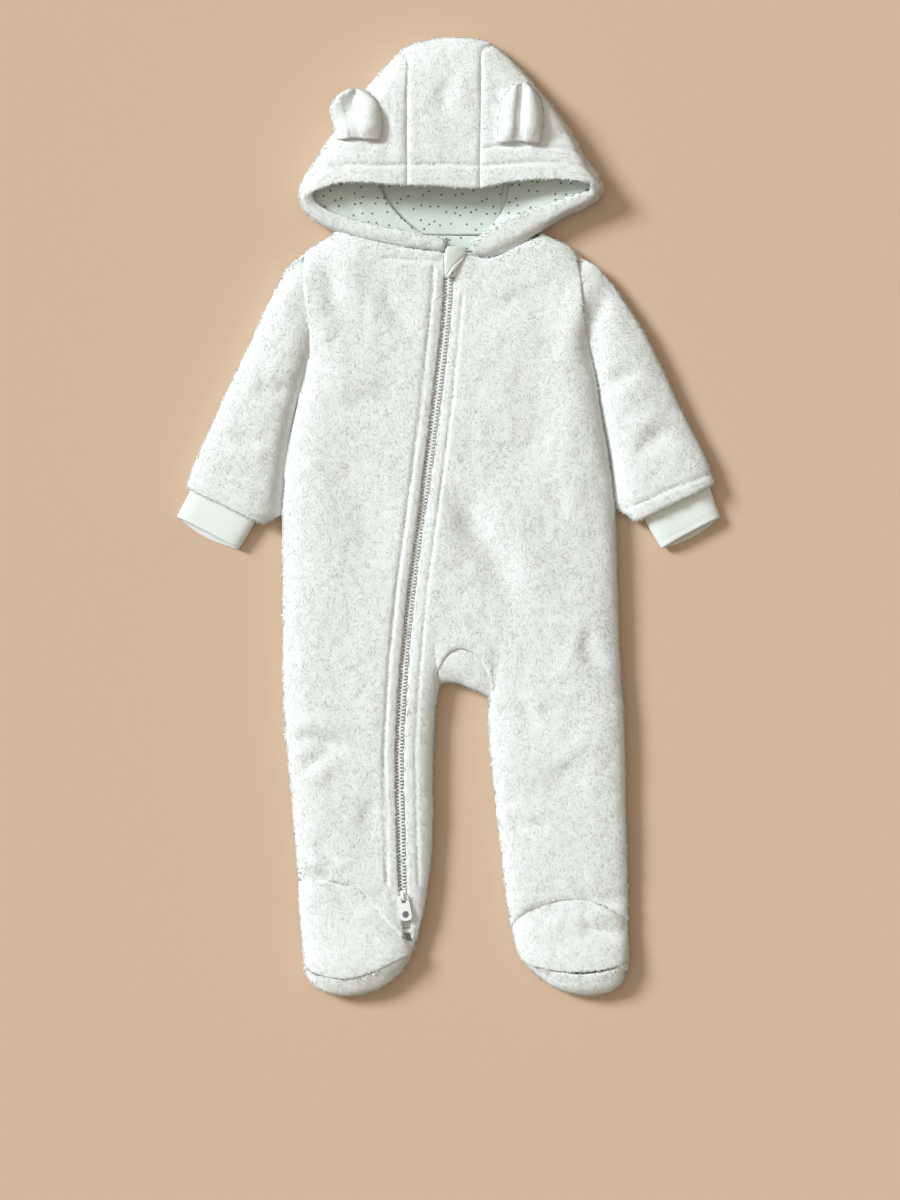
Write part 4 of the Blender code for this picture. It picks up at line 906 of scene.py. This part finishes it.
@once
def pile_material(settings):
    """The fleece's pile, on its tufts."""
    return fleece(settings, "fleece_pile")


def knit_height(nodes):
    """Height of a fine knit: rows of stitches crossed by courses."""
    wales, courses = (
        nodes.add(
            "ShaderNodeTexWave",
            {"Vector": nodes.place, "Scale": scale, "Distortion": unevenness, "Detail": 1.0},
            bands_direction=direction,
        ).outputs["Fac"]
        for direction, scale, unevenness in (("X", 330.0, 0.6), ("Y", 420.0, 0.8))
    )
    return nodes.product(wales, courses)


def jersey_finish(nodes, colour):
    """Links a jersey's colour and gives it the knit's relief and its soft sheen."""
    nodes.link(colour, "Base Color")
    nodes.bump(knit_height(nodes), 0.3, 0.3 * MM)
    nodes.set(Roughness=0.88, Sheen_Weight=0.12, Specular_IOR_Level=0.2)
    return nodes.material


@once
def jersey_material(settings):
    """Smooth knitted jersey."""
    nodes = Nodes("jersey")
    colour = tuple(settings.jersey_colour)
    patches = nodes.ramp(nodes.noise(60.0), 0.3, 0.7)
    return jersey_finish(nodes, nodes.mix(patches, shade_of(colour, 0.97), colour))


@once
def dotted_material(settings):
    """Smooth knitted jersey with small printed dots, unevenly spread, on a ground darkened as
    painted shade for the inside of the hood.
    """
    nodes = Nodes("dotted_jersey")
    colour = tuple(settings.jersey_colour)
    patches = nodes.ramp(nodes.noise(60.0), 0.3, 0.7)
    # Painted shade: the ground is darkened to 0.82 to 0.87 of the jersey's colour for the shade
    # inside the hood; the patches between the two are random tone.
    ground = nodes.mix(patches, shade_of(colour, 0.82), shade_of(colour, 0.87))
    scale = 1.0 / settings.dot_spacing
    cells = nodes.add(
        "ShaderNodeTexVoronoi",
        {"Vector": nodes.place, "Scale": scale, "Randomness": 0.85},
        voronoi_dimensions="2D",
        feature="F1",
    )
    edge = settings.dot_size / 2 * scale
    dot = nodes.ramp(cells.outputs["Distance"], edge * 1.15, edge * 0.85)
    return jersey_finish(nodes, nodes.mix(dot, ground, tuple(settings.dot_colour)))


@once
def plastic_material(settings):
    """Moulded plastic with a satin face."""
    nodes = Nodes("zip_plastic")
    colour = tuple(settings.zip_colour)
    patches = nodes.ramp(nodes.noise(300.0, 2.0), 0.35, 0.7)
    nodes.link(nodes.mix(patches, shade_of(colour, 0.95, (1, 1, 1)), colour), "Base Color")
    nodes.bump(nodes.noise(2200.0, 2.0), 0.12, 0.1 * MM)
    nodes.set(Roughness=0.34, IOR=1.48, Specular_IOR_Level=0.5)
    return nodes.material


@once
def tape_material(settings):
    """Woven zip tape with a herringbone."""
    nodes = Nodes("zip_tape")
    colour = shade_of(tuple(settings.zip_colour), 0.93)
    turned = nodes.add("ShaderNodeMapping", {"Vector": nodes.place, "Rotation": (0, 0, 0.8)})
    twill = nodes.add(
        "ShaderNodeTexWave",
        {"Vector": turned.outputs[0], "Scale": 300.0, "Distortion": 0.4},
        bands_direction="X",
    ).outputs["Fac"]
    nodes.link(nodes.mix(twill, shade_of(colour, 0.9), colour), "Base Color")
    nodes.bump(twill, 0.4, 0.3 * MM)
    nodes.set(Roughness=0.8, Specular_IOR_Level=0.25)
    return nodes.material


@once
def floor_material(settings):
    """Plain pale matt board."""
    nodes = Nodes("pale_floor")
    colour = tuple(settings.floor_colour)
    grain = nodes.ramp(nodes.noise(900.0, 2.0), 0.2, 0.8)
    nodes.link(nodes.mix(grain, shade_of(colour, 0.985, (1, 1, 1)), colour), "Base Color")
    nodes.set(Roughness=0.9, Specular_IOR_Level=0.1)
    return nodes.material


MATERIALS = {
    FLEECE: fleece_material,
    JERSEY: jersey_material,
    DOTTED: dotted_material,
    PLASTIC: plastic_material,
    TAPE: tape_material,
}


# Zip. The core is the ribbon that fills the middle of the zip under its teeth: its upper and
# lower faces lie CORE_FACES times CORE_DROP below the tapes. A tooth's levels go up from its foot.
TOOTH_PITCH = 2.7 * MM
CHAIN_RISE = 1.0 * MM
TOOTH_HEIGHT = 1.2 * MM
TOOTH_ROUNDING = 0.16 * MM
HARD_ROUNDING = 0.3 * MM
ROUNDED_ANGLE = math.radians(35)
ZIP_END = MM
CORE_ROWS = 90
CORE_DROP = 0.5 * MM
CORE_FACES = (1, 1.8)
TOOTH_LEVELS = table(
    "z from_mid to_outer half_length",
    (-1.15, 0.75, 2.75, 0.72),
    (0.35, 0.95, 2.80, 0.74),
    (0.95, 0.80, 2.60, 0.62),
    (1.20, 0.45, 2.25, 0.42),
)
HARD_PIECES = ("zip_stop", "lower_slider", "lower_pull", "upper_slider", "upper_pull")


def slice_of(name, y):
    """(x of the middle, top z, bottom z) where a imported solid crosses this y."""
    mesh = NODES[name].data
    points = numbers(mesh.vertices, "co", 3)
    edges = numbers(mesh.edges, "vertices", 2, np.int32)
    a, b = points[edges[:, 0]], points[edges[:, 1]]
    cross = (a[:, 1] - y) * (b[:, 1] - y) <= 0
    cross &= np.abs(a[:, 1] - b[:, 1]) > 1e-9
    a, b = a[cross], b[cross]
    found = a + ((y - a[:, 1]) / (b[:, 1] - a[:, 1]))[:, None] * (b - a)
    low, high = found.min(0), found.max(0)
    return (low[0] + high[0]) / 2, high[2], low[2]


def tooth(work, middle, out, down):
    """Adds one tooth, a closed form of stacked four-cornered levels."""
    rings = []
    for z, inner, outer, half in rows_of(TOOTH_LEVELS):
        corners = ((-inner, -half), (outer, -half), (outer, half), (-inner, half))
        level = middle + Vector((0, 0, z * MM))
        spots = [level + out * across * MM + down * along * MM for across, along in corners]
        rings.append([work.verts.new(spot) for spot in spots])
    work.faces.new(rings[0][::-1])
    work.faces.new(rings[-1])
    for lower, higher in zip(rings[:-1], rings[1:]):
        for k in range(4):
            n = (k + 1) % 4
            work.faces.new([lower[k], lower[n], higher[n], higher[k]])


def add_teeth(settings):
    """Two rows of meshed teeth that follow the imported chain."""
    low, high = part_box("zip_chain")
    count = int((high.y - low.y - 2 * ZIP_END) / TOOTH_PITCH * 2)
    places = np.linspace(high.y - ZIP_END, low.y + ZIP_END, count)
    middle = np.array([slice_of("zip_chain", y) for y in places])
    slope = np.gradient(middle[:, 0], places)
    work = bmesh.new()
    for i, (y, (x, top, _)) in enumerate(zip(places, middle)):
        side = 1 if i % 2 else -1
        down = Vector((-slope[i], -1.0, 0.0)).normalized()
        out = Vector((side * -down.y, side * down.x, 0.0))
        tooth(work, Vector((x, y, top + CHAIN_RISE - TOOTH_HEIGHT)), out, down)
    bmesh.ops.recalc_face_normals(work, faces=work.faces)
    mesh = bpy.data.meshes.new("zip_teeth")
    work.to_mesh(mesh)
    work.free()
    teeth = add_object("zip_teeth", mesh, plastic_material(settings), PLASTIC, GARMENT)
    soften(teeth, TOOTH_ROUNDING)
    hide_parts("zip_chain")


def add_core(settings):
    """The ribbon under the teeth, from one tape to the other."""
    low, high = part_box("zip_tape_left")
    upper, lower = CORE_FACES
    points = []
    for y in np.linspace(high.y - ZIP_END, low.y + ZIP_END, CORE_ROWS):
        left, right = slice_of("zip_tape_left", y), slice_of("zip_tape_right", y)
        for (x, top, _), drop in ((left, upper), (right, upper), (right, lower), (left, lower)):
            points.append((x, y, top - CORE_DROP * drop))
    last = 4 * (CORE_ROWS - 1)
    faces = [[0, 1, 2, 3], [last + k for k in (3, 2, 1, 0)]]
    for first in range(0, last, 4):
        for k in range(4):
            n = (k + 1) % 4
            faces.append([first + n, first + k, first + 4 + k, first + 4 + n])
    mesh = bpy.data.meshes.new("zip_core")
    mesh.from_pydata(points, [], faces)
    add_object("zip_core", mesh, tape_material(settings), TAPE, GARMENT)


def soften(piece, width):
    """Rounds a hard piece's edges."""
    edge = piece.modifiers.new("rounded_edges", "BEVEL")
    edge.width, edge.segments = width, 2
    edge.limit_method, edge.angle_limit = "ANGLE", ROUNDED_ANGLE


# Stage.
VIEW_CENTRE = Vector((1.2 * MM, -64.8 * MM, 0.0))
VIEW_HEIGHT = 0.960
CAMERA_DISTANCE = 2.6
SENSOR = 36.0
KEY_FROM = Vector((-0.80, 0.42, 0.56))
KEY_SOFTNESS = math.radians(18)
KEY_COLOUR = (0.93, 1.0, 1.06)
OVERHEAD_FROM = Vector((-0.15, 0.1, 1.0))
OVERHEAD_SOFTNESS = math.radians(80)
OVERHEAD_COLOUR = (1.0, 0.95, 0.88)
ROOM_COLOUR = (1.0, 0.84, 0.68, 1.0)
FLOOR_HALF = 3.0
FLOOR_LINES = 13


def add_light(name, comes_from, softness, power, colour):
    """A distant soft light."""
    data = bpy.data.lights.new(name, "SUN")
    data.angle, data.energy, data.color = softness, power, colour
    light = bpy.data.objects.new(name, data)
    light.rotation_euler = comes_from.to_track_quat("Z", "Y").to_euler()
    bpy.context.scene.collection.objects.link(light)


def add_stage(settings):
    """Camera, lights and floor."""
    scene = bpy.context.scene
    steps = np.linspace(-FLOOR_HALF, FLOOR_HALF, FLOOR_LINES).tolist()
    points = [(x, y, 0.0) for y in steps for x in steps]
    side = FLOOR_LINES
    firsts = [row * side + place for row in range(side - 1) for place in range(side - 1)]
    cells = [(i, i + 1, i + side + 1, i + side) for i in firsts]
    mesh = bpy.data.meshes.new("floor")
    mesh.from_pydata(points, [], cells)
    floor = bpy.data.objects.new("floor", mesh)
    mesh.materials.append(floor_material(settings))
    scene.collection.objects.link(floor)
    floor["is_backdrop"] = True
    data = bpy.data.cameras.new("camera")
    data.sensor_fit, data.sensor_height = "VERTICAL", SENSOR
    data.lens = SENSOR * CAMERA_DISTANCE / VIEW_HEIGHT
    camera = bpy.data.objects.new("camera", data)
    camera.location = VIEW_CENTRE + Vector((0, 0, CAMERA_DISTANCE))
    scene.collection.objects.link(camera)
    scene.camera = camera
    add_light("key", KEY_FROM, KEY_SOFTNESS, settings.key_strength, KEY_COLOUR)
    overhead = (OVERHEAD_FROM, OVERHEAD_SOFTNESS, settings.overhead_strength, OVERHEAD_COLOUR)
    add_light("overhead", *overhead)
    world = bpy.data.worlds.new("studio")
    world.use_nodes = True
    background = world.node_tree.nodes["Background"]
    background.inputs["Color"].default_value = ROOM_COLOUR
    background.inputs["Strength"].default_value = settings.room_light
    scene.world = world
    scene.view_settings.view_transform = "Standard"


# Add-on.


def length_setting(name, about, size):
    """A size in metres that the user may change."""
    return FloatProperty(
        name=name, description=about, default=size, min=0.0, unit="LENGTH", subtype="DISTANCE"
    )


def colour_setting(name, about, colour):
    """A colour that the user may change."""
    return FloatVectorProperty(
        name=name, description=about, default=colour, size=3, min=0.0, max=1.0, subtype="COLOR"
    )


def light_setting(name, about, strength):
    """A light's strength that the user may change."""
    return FloatProperty(name=name, description=about, default=strength, min=0.0)


class SleepsuitSettings(bpy.types.PropertyGroup):
    """Sizes and colours of the sleepsuit and its stage."""

    pile_length: length_setting("Pile length", "Length of the fleece's tufts", 0.0030)
    dot_size: length_setting("Dot size", "Width of a printed dot", 0.0017)
    dot_spacing: length_setting("Dot spacing", "Mean distance between printed dots", 0.0088)
    fleece_colour: colour_setting("Fleece", "Colour of the pile", (0.915, 0.92, 0.914))
    jersey_colour: colour_setting("Jersey", "Colour of cuffs and lining", (0.86, 0.91, 0.87))
    dot_colour: colour_setting("Dots", "Colour of the printed dots", (0.16, 0.18, 0.14))
    zip_colour: colour_setting("Zip", "Colour of teeth, sliders and tape", (0.92, 0.92, 0.91))
    floor_colour: colour_setting("Floor", "Colour of the floor", (0.655, 0.485, 0.35))
    key_strength: light_setting("Main light", "Strength of the main light", 3.4)
    overhead_strength: light_setting("Overhead", "Strength of the soft light overhead", 0.8)
    room_light: light_setting("Room light", "Strength of the light from all sides", 0.21)


class PieceOperator(bpy.types.Operator):
    """Shared way to run one group's making."""

    bl_options = {"REGISTER", "UNDO"}

    def make(self, settings):
        """Each step's own making."""
        raise NotImplementedError

    def execute(self, context):
        self.make(context.scene.sleepsuit)
        return {"FINISHED"}


class SLEEPSUIT_OT_stage(PieceOperator):
    """Add the floor, the lights and the camera"""

    bl_idname = "sleepsuit.stage"
    bl_label = "Stage"

    def make(self, settings):
        add_stage(settings)


class SLEEPSUIT_OT_body(PieceOperator):
    """Add the back, both fronts and the crotch gusset"""

    bl_idname = "sleepsuit.body"
    bl_label = "Body panels"

    def make(self, settings):
        for name, row in BODY_PANELS.items():
            add_cloth(name, row, settings, CREASES, GROOVES)


class SLEEPSUIT_OT_sleeves(PieceOperator):
    """Add the sleeves"""

    bl_idname = "sleepsuit.sleeves"
    bl_label = "Sleeves"

    def make(self, settings):
        for name, row in SLEEVES.items():
            add_cloth(name, row, settings, CREASES, GROOVES)


class SLEEPSUIT_OT_cuffs(PieceOperator):
    """Add the jersey cuffs"""

    bl_idname = "sleepsuit.cuffs"
    bl_label = "Cuffs"

    def make(self, settings):
        for name, row in CUFFS.items():
            add_cloth(name, row, settings, LINING_FOLDS, CUFF_HEMS)


class SLEEPSUIT_OT_feet(PieceOperator):
    """Add the feet's tops and soles"""

    bl_idname = "sleepsuit.feet"
    bl_label = "Feet"

    def make(self, settings):
        for name, row in FEET.items():
            add_cloth(name, row, settings, CREASES, GROOVES)


class SLEEPSUIT_OT_hood(PieceOperator):
    """Add the hood's sides and its centre strip"""

    bl_idname = "sleepsuit.hood"
    bl_label = "Hood"

    def make(self, settings):
        for name, row in HOOD.items():
            add_cloth(name, row, settings, CREASES, GROOVES)


class SLEEPSUIT_OT_ears(PieceOperator):
    """Add the folded ears"""

    bl_idname = "sleepsuit.ears"
    bl_label = "Ears"

    def make(self, settings):
        for name, row in EARS.items():
            add_cloth(name, row, settings, LINING_FOLDS, EAR_FOLDS)


class SLEEPSUIT_OT_lining(PieceOperator):
    """Add the hood's lining, the neck facing and the blank label"""

    bl_idname = "sleepsuit.lining"
    bl_label = "Lining"

    def make(self, settings):
        for name, row in LINING.items():
            add_cloth(name, row, settings, LINING_FOLDS, LINING_SEAMS)


class SLEEPSUIT_OT_guard(PieceOperator):
    """Add the chin guard"""

    bl_idname = "sleepsuit.guard"
    bl_label = "Chin guard"

    def make(self, settings):
        for name, row in GUARD.items():
            add_cloth(name, row, settings, LINING_FOLDS, GUARD_BINDING)


class SLEEPSUIT_OT_zip(PieceOperator):
    """Add the zip's tapes, teeth, sliders, pull tabs and stop"""

    bl_idname = "sleepsuit.zip"
    bl_label = "Zip"

    def make(self, settings):
        for name, row in TAPES.items():
            add_cloth(name, row, settings, LINING_FOLDS, GUARD_BINDING)
        add_teeth(settings)
        add_core(settings)
        for name in HARD_PIECES:
            node = NODES[name]
            node.data.materials.clear()
            node.data.materials.append(plastic_material(settings))
            soften(node, HARD_ROUNDING)


class SLEEPSUIT_PT_panel(bpy.types.Panel):
    """Sleepsuit sizes, colours and steps"""

    bl_label = "Sleepsuit"
    bl_space_type = "VIEW_3D"
    bl_region_type = "UI"
    bl_category = "Sleepsuit"

    def draw(self, context):
        for name in SleepsuitSettings.__annotations__:
            self.layout.prop(context.scene.sleepsuit, name)
        for step in STEPS:
            self.layout.operator(step.bl_idname)


STEPS = (
    SLEEPSUIT_OT_stage,
    SLEEPSUIT_OT_body,
    SLEEPSUIT_OT_sleeves,
    SLEEPSUIT_OT_cuffs,
    SLEEPSUIT_OT_feet,
    SLEEPSUIT_OT_hood,
    SLEEPSUIT_OT_ears,
    SLEEPSUIT_OT_lining,
    SLEEPSUIT_OT_guard,
    SLEEPSUIT_OT_zip,
)
CLASSES = (SleepsuitSettings, *STEPS, SLEEPSUIT_PT_panel)


def register():
    """Adds the settings, the operators and the panel."""
    for cls in CLASSES:
        bpy.utils.register_class(cls)
    bpy.types.Scene.sleepsuit = PointerProperty(type=SleepsuitSettings)


def unregister():
    """Takes them away again."""
    del bpy.types.Scene.sleepsuit
    for cls in reversed(CLASSES):
        bpy.utils.unregister_class(cls)


def main():
    """Registers the add-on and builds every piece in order."""
    register()
    for step in STEPS:
        getattr(bpy.ops.sleepsuit, step.bl_idname.split(".")[1])()
    boxes = {"cad": CAD_BOX, "visual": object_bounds()}
    sizes = {name: [list(map(float, corner)) for corner in box] for name, box in boxes.items()}


if __name__ == "__main__":
    main()
